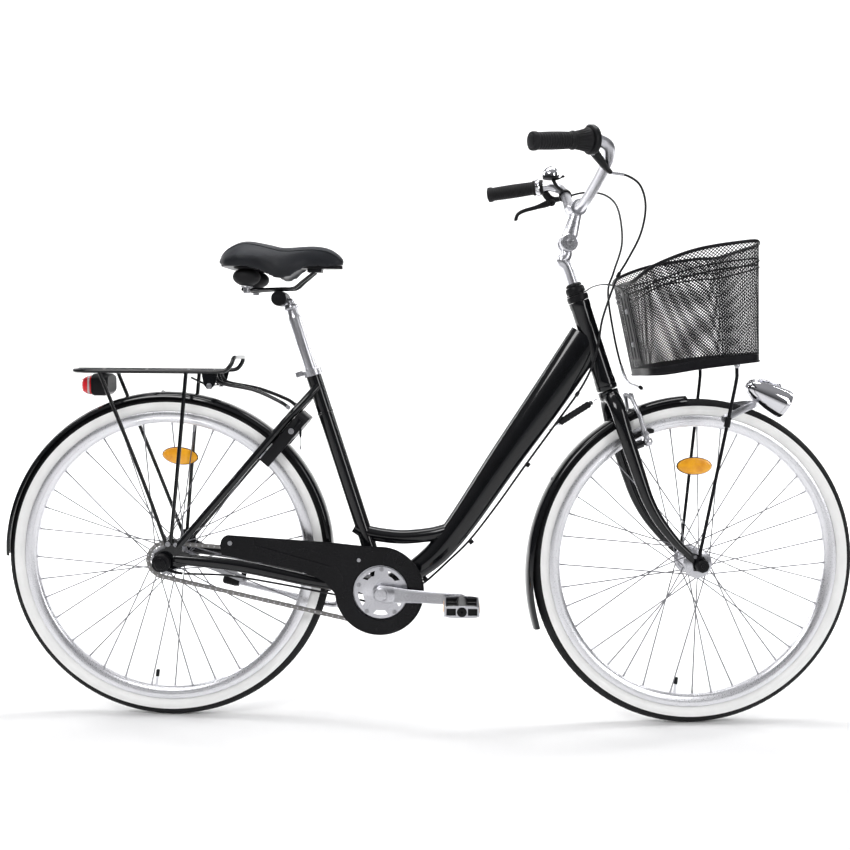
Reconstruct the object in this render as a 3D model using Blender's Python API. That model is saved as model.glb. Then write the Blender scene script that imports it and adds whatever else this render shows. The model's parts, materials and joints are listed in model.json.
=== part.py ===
"""Step-through city bicycle, drive side on -Y, facing +X, standing on the floor at Z = 0.

Metres, +Z up. The origin is the point on the floor below the rear axle. The front end is drawn
straight ahead and then turned about the head axis by its parent empty, as it stands at rest.
"""
import math

import bmesh
import bpy
from mathutils import Matrix, Vector

# ---- driving dimensions -------------------------------------------------------------------
GAP = 0.0003                     # between pieces that touch
WHEEL_RADIUS = 0.350             # 28 inch wheel, 622 mm bead seat, 38 mm tyre
WHEELBASE = 1.128
TYRE_WIDTH = 0.038
RIM_OUTER = 0.3135
RIM_BED = 0.3040
RIM_INNER = 0.2900
WHEEL_STEPS = 36
SPOKES = 36
SPOKE_RADIUS = 0.0011
BRACKET_X = 0.460                # crank axis
BRACKET_Z = 0.286
CRANK_LENGTH = 0.170
CRANK_DROP = math.radians(3.0)   # right crank points forward and this much down
PEDAL_LENGTH = 0.092
CHAIN_LINE = 0.0465
CHAIN_PITCH = 0.0127
RING_TEETH = 36
SPROCKET_TEETH = 18
SEAT_TUBE_TOP = Vector((0.3075, 0.0, 0.7530))
SEAT_TUBE_RADIUS = 0.0165
STAY_RADIUS = 0.0083
LOCK_SLOPE = math.radians(49.5)   # the seat stays' slope, which the wheel lock follows
POST_RADIUS = 0.0136
HEAD_POINT = Vector((0.875, 0.0, 0.896))   # on the head axis, near its upper end
HEAD_ANGLE = math.radians(71.0)
STEER_REST = math.radians(5.9)   # the front wheel stands turned this far to the left
TURNED_LIFT = 0.0001             # a turned wheel leans, which lowers its rim by this much
HEAD_TUBE_RADIUS = 0.0215
FENDER_RADIUS = 0.3570
FENDER_HALF = 0.0260
FENDER_SHEET = 0.0012
REAR_DROPOUT = 0.0625            # half the distance between the dropout plates
FRONT_DROPOUT = 0.0530
DECK_Z = 0.751                   # centre of the carrier's side rails
SADDLE_PIVOT = Vector((0.2415, 0.0, 0.9050))
STEM_PIVOT = Vector((0.8470, 0.0, 1.0250))
BAR_CENTRE = Vector((0.8665, 0.0, 1.0985))
GRIP_HALF = 0.290                # half the handlebar's width at the grip ends
BAR_RADIUS = 0.0111
BRAKE_PIVOT = Vector((1.0030, 0.0400, 0.6060))
STAND_PIVOT = Vector((0.368, 0.036, 0.238))
STAND_AXIS = Vector((0.45, -0.893, 0.0)).normalized()

REAR_AXLE = Vector((0.0, 0.0, WHEEL_RADIUS))
FRONT_AXLE = Vector((WHEELBASE, 0.0, WHEEL_RADIUS + TURNED_LIFT))
CRANK_AXIS = Vector((BRACKET_X, 0.0, BRACKET_Z))
HEAD_AXIS = Vector((-math.cos(HEAD_ANGLE), 0.0, math.sin(HEAD_ANGLE)))
HEAD_SQUARE = Vector((math.sin(HEAD_ANGLE), 0.0,
                      math.cos(HEAD_ANGLE)))    # forward, square to the head axis
SEAT_AXIS = (SEAT_TUBE_TOP - CRANK_AXIS).normalized()
ACROSS = Vector((0.0, 1.0, 0.0))
UP = Vector((0.0, 0.0, 1.0))

for item in list(bpy.data.objects):
    bpy.data.objects.remove(item, do_unlink=True)


# ---- materials ----------------------------------------------------------------------------
def material(name, colour, roughness, metallic=0.0):
    made = bpy.data.materials.new(name)
    made.use_nodes = True
    shader = made.node_tree.nodes["Principled BSDF"]
    shader.inputs["Base Color"].default_value = (*colour, 1.0)
    shader.inputs["Roughness"].default_value = roughness
    shader.inputs["Metallic"].default_value = metallic
    return made


BLACK_PAINT = material("black_paint", (0.012, 0.013, 0.016), 0.18)
BLACK_PLASTIC = material("black_plastic", (0.03, 0.03, 0.033), 0.5)
BLACK_RUBBER = material("black_rubber", (0.025, 0.025, 0.027), 0.75)
TYRE_RUBBER = material("tyre_rubber", (0.03, 0.03, 0.032), 0.8)
SADDLE_COVER = material("saddle_cover", (0.045, 0.047, 0.052), 0.6)
ALLOY = material("alloy", (0.72, 0.72, 0.74), 0.3, 1.0)
STEEL = material("steel", (0.55, 0.55, 0.57), 0.35, 1.0)
CHROME = material("chrome", (0.85, 0.85, 0.87), 0.08, 1.0)
RED_LENS = material("red_lens", (0.6, 0.02, 0.03), 0.15)
AMBER_LENS = material("amber_lens", (0.95, 0.36, 0.02), 0.2)
CLEAR_LENS = material("clear_lens", (0.85, 0.88, 0.9), 0.1)

PIVOT_ORIGIN = {}


# ---- building blocks ----------------------------------------------------------------------
def pivot(name, place, parent=None):
    """An empty on a joint's axis; place is given with the steering straight ahead."""
    empty = bpy.data.objects.new(name, None)
    bpy.context.collection.objects.link(empty)
    empty.empty_display_size = 0.05
    empty.location = place
    PIVOT_ORIGIN[name] = Vector(place)
    if parent is not None:
        attach(empty, parent)
    return empty


def attach(child, parent):
    child.parent = parent
    child.matrix_parent_inverse = Matrix.Translation(-PIVOT_ORIGIN[parent.name])
    return child


def finish(name, bm, finish_material, parent=None):
    """Turn a bmesh into a named object with closed, outward faces."""
    bmesh.ops.remove_doubles(bm, verts=bm.verts, dist=1e-6)
    bmesh.ops.recalc_face_normals(bm, faces=bm.faces)
    mesh = bpy.data.meshes.new(name)
    bm.to_mesh(mesh)
    bm.free()
    mesh.materials.append(finish_material)
    mesh.shade_smooth()
    mesh.set_sharp_from_angle(angle=math.radians(35.0))
    thing = bpy.data.objects.new(name, mesh)
    bpy.context.collection.objects.link(thing)
    if parent is not None:
        attach(thing, parent)
    return thing


def add_ring(bm, points):
    return [bm.verts.new(p) for p in points]


def bridge(bm, ring_a, ring_b):
    count = len(ring_a)
    for i in range(count):
        j = (i + 1) % count
        bm.faces.new((ring_a[i], ring_a[j], ring_b[j], ring_b[i]))


def add_sweep(bm, path, sizes, sides=8, flat_side=None):
    """Sweep a round or elliptic section along a path.

    sizes is one radius, or one (across, in_plane) pair for each point. flat_side is the direction
    of the section's first half-size; without it the section is carried along the path.
    """
    path = [Vector(p) for p in path]
    if isinstance(sizes, (int, float)):
        sizes = [(sizes, sizes)] * len(path)
    sizes = [s if isinstance(s, tuple) else (s, s) for s in sizes]
    rings = []
    carried = None
    for i, point in enumerate(path):
        before = path[max(i - 1, 0)]
        after = path[min(i + 1, len(path) - 1)]
        tangent = (after - before).normalized()
        if flat_side is not None:
            side = flat_side - tangent * flat_side.dot(tangent)
        elif carried is None:
            hint = ACROSS if abs(tangent.y) < 0.8 else UP
            side = hint - tangent * hint.dot(tangent)
        else:
            side = carried - tangent * carried.dot(tangent)
        side.normalize()
        carried = side
        other = tangent.cross(side)
        across, in_plane = sizes[i]
        ring = []
        for k in range(sides):
            turn = 2.0 * math.pi * (k + 0.5) / sides
            ring.append(point + side * across * math.cos(turn) + other * in_plane * math.sin(turn))
        rings.append(add_ring(bm, ring))
    for ring_a, ring_b in zip(rings, rings[1:]):
        bridge(bm, ring_a, ring_b)
    bm.faces.new(rings[0])
    bm.faces.new(rings[-1])


def add_turned(bm, centre, axis, profile, steps=16, closed=False, phase=0.0):
    """Turn a profile of (radius, distance along axis) points; closed makes a ring with a bore."""
    axis = Vector(axis).normalized()
    hint = UP if abs(axis.z) < 0.9 else Vector((1.0, 0.0, 0.0))
    first = (hint - axis * hint.dot(axis)).normalized()
    second = axis.cross(first)
    rings = []
    for radius, along in profile:
        middle = Vector(centre) + axis * along
        ring = []
        for k in range(steps):
            turn = 2.0 * math.pi * (k + phase) / steps
            ring.append(middle + first * radius * math.cos(turn) + second * radius * math.sin(turn))
        rings.append(add_ring(bm, ring))
    for ring_a, ring_b in zip(rings, rings[1:]):
        bridge(bm, ring_a, ring_b)
    if closed:
        bridge(bm, rings[-1], rings[0])
    else:
        bm.faces.new(rings[0])
        bm.faces.new(rings[-1])


def add_prism(bm, outline, low, high):
    """A plate: an outline of (x, z) points, extruded from y = low to y = high."""
    front = add_ring(bm, [(x, low, z) for x, z in outline])
    back = add_ring(bm, [(x, high, z) for x, z in outline])
    bridge(bm, front, back)
    bm.faces.new(front)
    bm.faces.new(back)


def add_block(bm, low, high, turn=None):
    low = Vector(low)
    high = Vector(high)
    size = high - low
    place = Matrix.Translation((low + high) / 2.0)
    if turn is not None:
        place = place @ turn
    shape = place @ Matrix.Diagonal((size.x, size.y, size.z, 1.0))
    bmesh.ops.create_cube(bm, size=1.0, matrix=shape)


def add_loft(bm, sections):
    rings = [add_ring(bm, section) for section in sections]
    for ring_a, ring_b in zip(rings, rings[1:]):
        bridge(bm, ring_a, ring_b)
    bm.faces.new(rings[0])
    bm.faces.new(rings[-1])


def swept(name, path, sizes, finish_material, parent=None, sides=8, flat_side=None):
    bm = bmesh.new()
    add_sweep(bm, path, sizes, sides, flat_side)
    return finish(name, bm, finish_material, parent)


def turned(name, centre, axis, profile, finish_material, parent=None, steps=16, closed=False, phase=0.0):
    bm = bmesh.new()
    add_turned(bm, centre, axis, profile, steps, closed, phase)
    return finish(name, bm, finish_material, parent)


def shape(add, *arguments, **options):
    """A bmesh that holds one shape, for use as an operand."""
    bm = bmesh.new()
    add(bm, *arguments, **options)
    return bm


def combine(base, operand_meshes, operation="UNION"):
    """Add or cut closed shapes, each kept as a hidden guide beside the object."""
    for number, bm in enumerate(operand_meshes):
        guide = finish(f"guide_{base.name}_{operation.lower()}_{number}", bm, base.data.materials[0])
        guide.parent = base.parent
        guide.matrix_parent_inverse = base.matrix_parent_inverse.copy()
        guide.hide_render = True
        guide.display_type = "WIRE"
        cut = base.modifiers.new(f"{operation.lower()}_{number}", "BOOLEAN")
        cut.operation = operation
        cut.solver = "EXACT"
        cut.object = guide
    return base


def smooth_path(points, per_span=4):
    """Points on a smooth curve through the given ones."""
    points = [Vector(p) for p in points]
    ends = [points[0] * 2.0 - points[1]] + points + [points[-1] * 2.0 - points[-2]]
    curve = []
    for a, b, c, d in zip(ends, ends[1:], ends[2:], ends[3:]):
        for step in range(per_span):
            t = step / per_span
            value = b * 2.0 + (c - a) * t + (a * 2.0 - b * 5.0 + c * 4.0 - d) * t * t
            value += (b * 3.0 - a - c * 3.0 + d) * t * t * t
            curve.append(value * 0.5)
    curve.append(points[-1])
    return curve


def mirrored(points):
    return [(x, -y, z) for x, y, z in points]


def on_side(points, side):
    return [Vector((x, y * side, z)) for x, y, z in points]


def arc(centre_x, centre_z, radius, start_deg, end_deg, steps):
    """Points (x, z) on an arc, angles counted from +X towards +Z."""
    points = []
    for i in range(steps + 1):
        turn = math.radians(start_deg + (end_deg - start_deg) * i / steps)
        points.append((centre_x + radius * math.cos(turn), centre_z + radius * math.sin(turn)))
    return points


def on_head_axis(along):
    return HEAD_POINT + HEAD_AXIS * along


# ---- joints' empties ----------------------------------------------------------------------
steering = pivot("steering_pivot", HEAD_POINT)
steering.rotation_mode = "QUATERNION"
steering.rotation_quaternion = Matrix.Rotation(STEER_REST, 3, HEAD_AXIS).to_quaternion()
bars = pivot("stem_pivot", STEM_PIVOT, steering)
front_wheel = pivot("front_wheel_pivot", FRONT_AXLE, steering)
rear_wheel = pivot("rear_wheel_pivot", REAR_AXLE)
rear_sprocket = pivot("sprocket_pivot", REAR_AXLE)
cranks = pivot("crank_pivot", CRANK_AXIS)
post = pivot("seat_post_guide", SEAT_TUBE_TOP)
saddle = pivot("saddle_pivot", SADDLE_PIVOT, post)
stand = pivot("kickstand_pivot", STAND_PIVOT)
crank_reach = Vector((CRANK_LENGTH * math.cos(CRANK_DROP), 0.0, -CRANK_LENGTH * math.sin(CRANK_DROP)))
PEDAL_RIGHT = CRANK_AXIS + crank_reach
PEDAL_LEFT = CRANK_AXIS - crank_reach
pedal_right_pivot = pivot("pedal_right_pivot", PEDAL_RIGHT, cranks)
pedal_left_pivot = pivot("pedal_left_pivot", PEDAL_LEFT, cranks)


# ---- frame --------------------------------------------------------------------------------
def build_frame():
    down_tube = [((0.474, 0, 0.293), 0.022, 0.0215), ((0.503, 0, 0.306), 0.022, 0.0225),
                 ((0.532, 0, 0.325), 0.022, 0.0235), ((0.580, 0, 0.366), 0.0225, 0.0265),
                 ((0.634, 0, 0.436), 0.023, 0.0300), ((0.721, 0, 0.569), 0.023, 0.0340),
                 ((0.814, 0, 0.706), 0.0225, 0.0385), ((0.893, 0, 0.828), 0.0195, 0.0400)]
    frame = swept("frame", [p for p, _, _ in down_tube], [(a, b) for _, a, b in down_tube],
                  BLACK_PAINT, sides=12, flat_side=ACROSS)
    head_profile = [(0.0225, -0.1880), (0.0225, -0.1778), (HEAD_TUBE_RADIUS, -0.1775),
                    (HEAD_TUBE_RADIUS, 0.008)]
    head = shape(add_turned, HEAD_POINT, HEAD_AXIS, head_profile)
    seat = shape(add_sweep, [CRANK_AXIS, SEAT_TUBE_TOP], SEAT_TUBE_RADIUS, 12)
    shell = shape(add_turned, CRANK_AXIS, ACROSS, [(0.0205, -0.034), (0.0205, 0.034)])
    link_path = smooth_path([(0.400, 0, 0.420), (0.430, 0, 0.405), (0.497, 0, 0.3965), (0.560, 0, 0.402),
                             (0.600, 0, 0.412)], 2)
    link = shape(add_sweep, link_path, 0.0155, 10)
    parts = [head, seat, shell, link]
    seat_stay = [(0.322, 0.010, 0.722), (0.296, 0.024, 0.6915), (0.250, 0.0365, 0.640),
                 (0.120, 0.0495, 0.487),
                 (0.030, 0.0605, 0.381)]
    chain_stay = [(0.452, 0.014, 0.287), (0.425, 0.0295, 0.289), (0.384, 0.0333, 0.2945),
                  (0.354, 0.0353, 0.299),
                  (0.300, 0.0420, 0.309), (0.160, 0.0540, 0.340), (0.045, 0.0612, 0.354),
                  (0.022, 0.0622, 0.356)]
    chain_size = [(0.0080, 0.0125)] * 5 + [(0.0085, 0.0130)] * 3
    dropout = [(-0.020, 0.3440), (0.0040, 0.3440), (0.0062, 0.3500), (0.0040, 0.3560),
               (-0.020, 0.3560), (-0.018, 0.3680), (0.004, 0.3780), (0.010, 0.3960), (0.024, 0.4000),
               (0.040, 0.3900), (0.040, 0.3740), (0.060, 0.3640), (0.060, 0.3440), (0.030, 0.3360),
               (0.006, 0.3300), (-0.014, 0.3330)]
    for side in (1.0, -1.0):
        parts.append(shape(add_sweep, on_side(seat_stay, side), STAY_RADIUS, 8, ACROSS))
        parts.append(shape(add_sweep, on_side(chain_stay, side), chain_size, 8, ACROSS))
        low, high = sorted((side * (REAR_DROPOUT - 0.0025), side * (REAR_DROPOUT + 0.0025)))
        parts.append(shape(add_prism, dropout, low, high))
    parts.append(shape(add_sweep, [(0.262, -0.034, 0.654), (0.262, 0.034, 0.654)], 0.0065, 8))
    combine(frame, parts)
    shell_bore = shape(add_turned, CRANK_AXIS, ACROSS, [(0.0170, -0.05), (0.0170, 0.05)])
    post_bore = shape(add_turned, SEAT_TUBE_TOP, SEAT_AXIS, [(0.0143, -0.290), (0.0143, 0.020)])
    head_bore = shape(add_turned, HEAD_POINT, HEAD_AXIS, [(0.0180, -0.20), (0.0180, 0.03)])
    combine(frame, [shell_bore, post_bore, head_bore], "DIFFERENCE")


def build_ring_lock():
    """A horseshoe wheel lock in front of the seat stays, its legs on each side of the tyre."""
    centre = Vector((0.2809, 0.0, 0.6406))
    up_stay = Vector((math.cos(LOCK_SLOPE), 0.0, math.sin(LOCK_SLOPE)))
    ahead = Vector((math.sin(LOCK_SLOPE), 0.0, -math.cos(LOCK_SLOPE)))
    half = [(0.0470, -0.1080), (0.0470, 0.0020), (0.0400, 0.0170), (0.0240, 0.0260)]
    arch = [(0.0310, -0.0450), (0.0240, -0.0320)]
    outline = half + [(-y, a) for y, a in reversed(half)]
    outline += [(-0.0310, -0.1080)] + [(-y, a) for y,
                                       a in arch] + list(reversed(arch)) + [(0.0310, -0.1080)]
    sections = []
    for depth in (-0.0125, 0.0125):
        sections.append([centre + ahead * depth + ACROSS * y + up_stay * a for y, a in outline])
    bm = bmesh.new()
    add_loft(bm, sections)
    finish("ring_lock", bm, BLACK_PLASTIC)


def build_headset():
    upper = [(0.0135, 0.0083), (0.0205, 0.0083), (0.0225, 0.0150), (0.0225, 0.0215), (0.0160, 0.0217),
             (0.0160, 0.0253), (0.0190, 0.0255), (0.0190, 0.0400), (0.0135, 0.0400)]
    turned("headset_upper_race", HEAD_POINT, HEAD_AXIS, upper, BLACK_PLASTIC, steering, closed=True)


def build_bottom_bracket():
    cartridge = [(0.0095, -0.036), (0.0165, -0.036), (0.0165, 0.036), (0.0095, 0.036)]
    turned("bottom_bracket_cartridge", CRANK_AXIS, ACROSS, cartridge, STEEL, closed=True)


def fender_section(inner_radius_shift):
    """Half-width and radius of a fender's sheet, from one edge over the crown to the other."""
    shift = inner_radius_shift
    half = [(FENDER_HALF - shift, -0.0120), (FENDER_HALF * 0.80 - shift, -0.0040 - shift * 0.5),
            (0.0, -shift)]
    left = [(-y, FENDER_RADIUS + r) for y, r in half]
    right = [(y, FENDER_RADIUS + r) for y, r in reversed(half[:-1])]
    return left + right


def add_fender(bm, axle, start_deg, end_deg, steps, flare_from=360.0, flare=0.0):
    """An arched strip about the axle; flare lets its tail stand off the tyre past an angle."""
    outline = fender_section(0.0) + list(reversed(fender_section(FENDER_SHEET)))
    sections = []
    for i in range(steps + 1):
        angle = start_deg + (end_deg - start_deg) * i / steps
        turn = math.radians(angle)
        share = max(angle - flare_from, 0.0) / max(end_deg - flare_from, 1.0)
        ring = []
        for across, radius in outline:
            radius += flare * share * share
            ring.append(axle + Vector((radius * math.cos(turn), across, radius * math.sin(turn))))
        sections.append(ring)
    add_loft(bm, sections)


def build_rear_fender():
    bm = bmesh.new()
    add_fender(bm, REAR_AXLE, -11.5, 180.0, 22)
    finish("rear_fender", bm, BLACK_PAINT)


def build_carrier():
    rail = 0.0045
    half = 0.060
    deck = smooth_path([(0.118, half, DECK_Z), (-0.080, half, DECK_Z), (-0.160, half * 0.95, DECK_Z),
                        (-0.193, half * 0.6, DECK_Z), (-0.1955, 0.0, DECK_Z)], 2)
    deck += [Vector((p.x, -p.y, p.z)) for p in reversed(deck[:-1])]
    carrier = swept("rear_carrier", deck, rail, BLACK_PAINT, sides=6)
    hook = [(0.116, half, DECK_Z), (0.136, half * 0.97, DECK_Z + 0.003),
            (0.149, half * 0.9, DECK_Z + 0.026),
            (0.151, half * 0.7, DECK_Z + 0.029)]
    hook += [(x, -y, z) for x, y, z in reversed(hook)]
    parts = [shape(add_sweep, hook, rail * 1.02, 6)]
    for x in (-0.130, -0.040, 0.050, 0.105):
        parts.append(shape(add_sweep, [(x, -half, DECK_Z), (x, half, DECK_Z)], rail * 0.9, 6))
    parts.append(shape(add_block, (-0.190, -0.014, DECK_Z + 0.0005), (0.120, 0.014, DECK_Z + 0.0055)))
    for side in (1.0, -1.0):
        top = half * side
        foot = (REAR_DROPOUT + 0.0075) * side
        parts.append(shape(add_sweep, [(-0.131, top, DECK_Z), (0.009, foot, 0.386)], 0.0042, 6))
        parts.append(shape(add_sweep, [(0.052, top, DECK_Z), (0.018, foot, 0.390)], 0.0042, 6))
        stay = [(0.105, 0.030 * side, DECK_Z), (0.118, 0.030 * side, 0.7240), (0.190, 0.032 * side, 0.7120),
                (0.2445, 0.0475 * side, 0.6900), (0.262, 0.0480 * side, 0.6780)]
        parts.append(shape(add_sweep, stay, 0.0040, 6))
    combine(carrier, parts)


def build_rear_lamp():
    housing = [(-0.1570, 0.6985), (-0.1280, 0.6960), (-0.1210, 0.7050), (-0.1210, 0.7440),
               (-0.1520, 0.7445),
               (-0.1570, 0.7400)]
    bm = bmesh.new()
    add_prism(bm, housing, -0.036, 0.036)
    finish("rear_lamp_housing", bm, BLACK_PLASTIC)
    bm = bmesh.new()
    for_x = (-0.1573, -0.1750, -0.1820)
    sections = []
    for x, half_y, half_z in zip(for_x, (0.036, 0.034, 0.022), (0.0210, 0.0195, 0.0120)):
        ring = []
        for k in range(10):
            turn = 2.0 * math.pi * k / 10
            wide = math.copysign(abs(math.cos(turn)) ** 0.5, math.cos(turn))
            tall = math.copysign(abs(math.sin(turn)) ** 0.5, math.sin(turn))
            ring.append((x, half_y * wide, 0.7195 + half_z * tall))
        sections.append(ring)
    add_loft(bm, sections)
    finish("rear_lamp_lens", bm, RED_LENS)


def build_rear_axle():
    half = REAR_DROPOUT + 0.0028
    nut = [(0.0050, -0.0738), (0.0050, -0.0728), (0.0105, -0.0728), (0.0105, -half), (0.0050, -half)]
    profile = nut + [(r, -y) for r, y in reversed(nut)]
    turned("rear_axle", REAR_AXLE, ACROSS, profile, STEEL, steps=12)
    cap = [(0.0190, -0.0742), (0.0200, -0.0790), (0.0190, -0.0850), (0.0130, -0.0865), (0.0125, -0.0890),
           (0.0060, -0.0900)]
    turned("gear_click_box", REAR_AXLE, ACROSS, cap, BLACK_PLASTIC, steps=16)


def build_coaster_arm():
    outline = [(-0.011, 0.342), (-0.004, 0.338), (0.148, 0.281), (0.158, 0.287), (0.152, 0.296),
               (0.012, 0.358),
               (0.000, 0.3625), (-0.010, 0.359)]
    bm = bmesh.new()
    add_prism(bm, outline, 0.0475, 0.0500)
    arm = finish("coaster_brake_arm", bm, STEEL)
    hole = shape(add_turned, REAR_AXLE, ACROSS, [(0.0056, 0.04), (0.0056, 0.06)])
    combine(arm, [hole], "DIFFERENCE")


def build_seat_clamp():
    ring = [(0.0172, -0.011), (0.0207, -0.011), (0.0207, 0.003), (0.0172, 0.003)]
    clamp = turned("seat_clamp", SEAT_TUBE_TOP, SEAT_AXIS, ring, ALLOY, closed=True)
    ear = shape(add_block, (0.2660, -0.0080, 0.7420), (0.2890, 0.0080, 0.7520))
    combine(clamp, [ear])


def build_kickstand():
    bracket_top = 0.2835
    bm = bmesh.new()
    add_block(bm, (0.3630, -0.0260, 0.2640), (0.3950, 0.0230, bracket_top))
    bracket = finish("kickstand_bracket", bm, BLACK_PLASTIC)
    boss = shape(add_turned, STAND_PIVOT, STAND_AXIS, [(0.0110, 0.0005), (0.0110, 0.0160)], 12)
    web = shape(add_block, (0.3655, 0.0085, 0.2330), (0.3860, 0.0220, 0.2660))
    combine(bracket, [web, boss])
    foot = Vector((0.108, 0.064, 0.284))
    direction = (foot - STAND_PIVOT)
    knee = STAND_PIVOT + Vector((-0.030, 0.012, -0.003))
    end = STAND_PIVOT + direction * 0.90
    path = [STAND_PIVOT - STAND_AXIS * 0.007, knee, end]
    leg = swept("kickstand_leg", path, 0.0070, ALLOY, stand, sides=8)
    hub = shape(add_turned, STAND_PIVOT, STAND_AXIS, [(0.0110, -0.0150), (0.0110, 0.0)], 12)
    combine(leg, [hub])
    tip = (end - knee).normalized()
    boot = [(0.0090, 0.0), (0.0105, 0.006), (0.0105, 0.030), (0.0070, 0.034)]
    turned("kickstand_foot", end + tip * GAP, tip, boot, BLACK_RUBBER, stand, steps=10)


# ---- drive --------------------------------------------------------------------------------
def pitch_radius(teeth):
    return CHAIN_PITCH / (2.0 * math.sin(math.pi / teeth))


def toothed_ring(name, centre, teeth, bore, low, high, finish_material, parent):
    """A flat ring with one small tooth a pitch, short of the chain that runs over it."""
    tip = pitch_radius(teeth) - 0.0048
    root = tip - 0.0035
    outline = []
    for k in range(2 * teeth):
        radius = root if k % 2 else tip
        turn = math.pi * k / teeth
        outline.append((centre.x + radius * math.cos(turn), centre.z + radius * math.sin(turn)))
    bm = bmesh.new()
    add_prism(bm, outline, low, high)
    ring = finish(name, bm, finish_material, parent)
    reach = 0.001
    hole = shape(add_turned, centre, ACROSS, [(bore, low - reach), (bore, high + reach)], 16)
    combine(ring, [hole], "DIFFERENCE")


def build_chain():
    ring = pitch_radius(RING_TEETH)
    sprocket = pitch_radius(SPROCKET_TEETH)
    centre_line = CRANK_AXIS - REAR_AXLE
    span = math.hypot(centre_line.x, centre_line.z)
    slope = math.degrees(math.atan2(centre_line.z, centre_line.x))
    spread = math.degrees(math.acos((sprocket - ring) / span))
    top = slope + spread
    bottom = slope - spread
    loops = []
    for grow in (0.0040, -0.0040):
        front = arc(CRANK_AXIS.x, CRANK_AXIS.z, ring + grow, bottom, top, 14)
        back = arc(REAR_AXLE.x, REAR_AXLE.z, sprocket + grow, top, bottom + 360.0, 10)
        loops.append(front + back)
    bm = bmesh.new()
    corners = []
    for y in (-CHAIN_LINE - 0.0035, -CHAIN_LINE + 0.0035):
        corners.append([add_ring(bm, [(x, y, z) for x, z in loop]) for loop in loops])
    (outer_a, inner_a), (outer_b, inner_b) = corners
    bridge(bm, outer_a, outer_b)
    bridge(bm, outer_b, inner_b)
    bridge(bm, inner_b, inner_a)
    bridge(bm, inner_a, outer_a)
    finish("chain", bm, STEEL)


def build_chainguard():
    centre_x = BRACKET_X - 0.003
    centre_z = BRACKET_Z + 0.004
    outer = 0.0945
    sheet = 0.0015
    face = 0.0555
    outline = [(0.119, 0.384), (0.132, 0.4065)]
    outline += [(0.360, 0.3925)]
    outline += arc(centre_x, centre_z, outer, 100.0, -178.0, 20)
    outline += [(0.320, 0.3150), (0.270, 0.3360), (0.122, 0.3640)]
    outline.reverse()
    bm = bmesh.new()
    add_prism(bm, outline, -face, -face + sheet)
    guard = finish("chainguard", bm, BLACK_PLASTIC)
    edge = [(0.1325, 0.4055), (0.360, 0.3915)] + arc(centre_x, centre_z, outer - 0.0010, 98.0, -120.0, 14)
    strip = []
    for low_shift in (-0.0008, 0.0008):
        line = []
        for i, (x, z) in enumerate(edge):
            before = Vector(edge[max(i - 1, 0)])
            after = Vector(edge[min(i + 1, len(edge) - 1)])
            run = (after - before).normalized()
            line.append((x - run.y * low_shift, z + run.x * low_shift))
        strip.append(line)
    rim = strip[0] + list(reversed(strip[1]))
    wall = shape(add_prism, rim, -face + 0.0005, -0.0440)
    combine(guard, [wall])
    hole = shape(add_turned, (centre_x + 0.002, 0.0, centre_z - 0.003), ACROSS,
                 [(0.058, -0.07), (0.058, -0.05)], 24)
    combine(guard, [hole], "DIFFERENCE")


def crank_arm(name, side, end, finish_material):
    """One crank: a square-taper boss on the spindle, an arm and the pedal's axle in its end."""
    inner = side * 0.0590
    outer = side * 0.0715
    low, high = sorted((inner, outer))
    run = (end - CRANK_AXIS).normalized()
    normal = Vector((-run.z, 0.0, run.x))
    outline = []
    for along, half in ((-0.014, 0.010), (-0.004, 0.0175), (0.020, 0.0175), (0.060, 0.0135),
                        (0.156, 0.0125),
                        (0.176, 0.0120), (0.1835, 0.006)):
        outline.append((along, half))
    upper = [CRANK_AXIS + run * a + normal * h for a, h in outline]
    lower = [CRANK_AXIS + run * a - normal * h for a, h in reversed(outline)]
    bm = bmesh.new()
    add_prism(bm, [(p.x, p.z) for p in upper + lower], low, high)
    arm = finish(name, bm, finish_material, cranks)
    boss = [(0.0190, side * 0.0480), (0.0165, side * 0.0600)]
    if side > 0.0:
        boss = [(0.0091, boss[0][1])] + boss + [(0.0091, boss[1][1])]
    boss_shape = shape(add_turned, CRANK_AXIS, ACROSS, boss, 16, side > 0.0)
    reach = side * (0.0790 + PEDAL_LENGTH - 0.008)
    axle = shape(add_turned, end, ACROSS, [(0.0052, side * 0.0700), (0.0052, reach)], 10)
    combine(arm, [boss_shape, axle])
    return arm


def build_cranks():
    right = crank_arm("crank_right", -1.0, PEDAL_RIGHT, ALLOY)
    spider = []
    for k in range(5):
        for part, radius in ((-0.22, 0.030), (-0.10, 0.050), (0.10, 0.050), (0.22, 0.030)):
            turn = 2.0 * math.pi * (k + part) / 5 + 0.3
            spider.append((CRANK_AXIS.x + radius * math.cos(turn), CRANK_AXIS.z + radius * math.sin(turn)))
    plate = shape(add_prism, spider, -0.0515, -0.0485)
    spindle = shape(add_turned, CRANK_AXIS, ACROSS, [(0.0086, -0.0650), (0.0086, 0.0583)], 12)
    combine(right, [plate, spindle])
    crank_arm("crank_left", 1.0, PEDAL_LEFT, ALLOY)
    toothed_ring("chainring", CRANK_AXIS, RING_TEETH, 0.0440, -0.0478, -0.0453, ALLOY, cranks)


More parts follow.
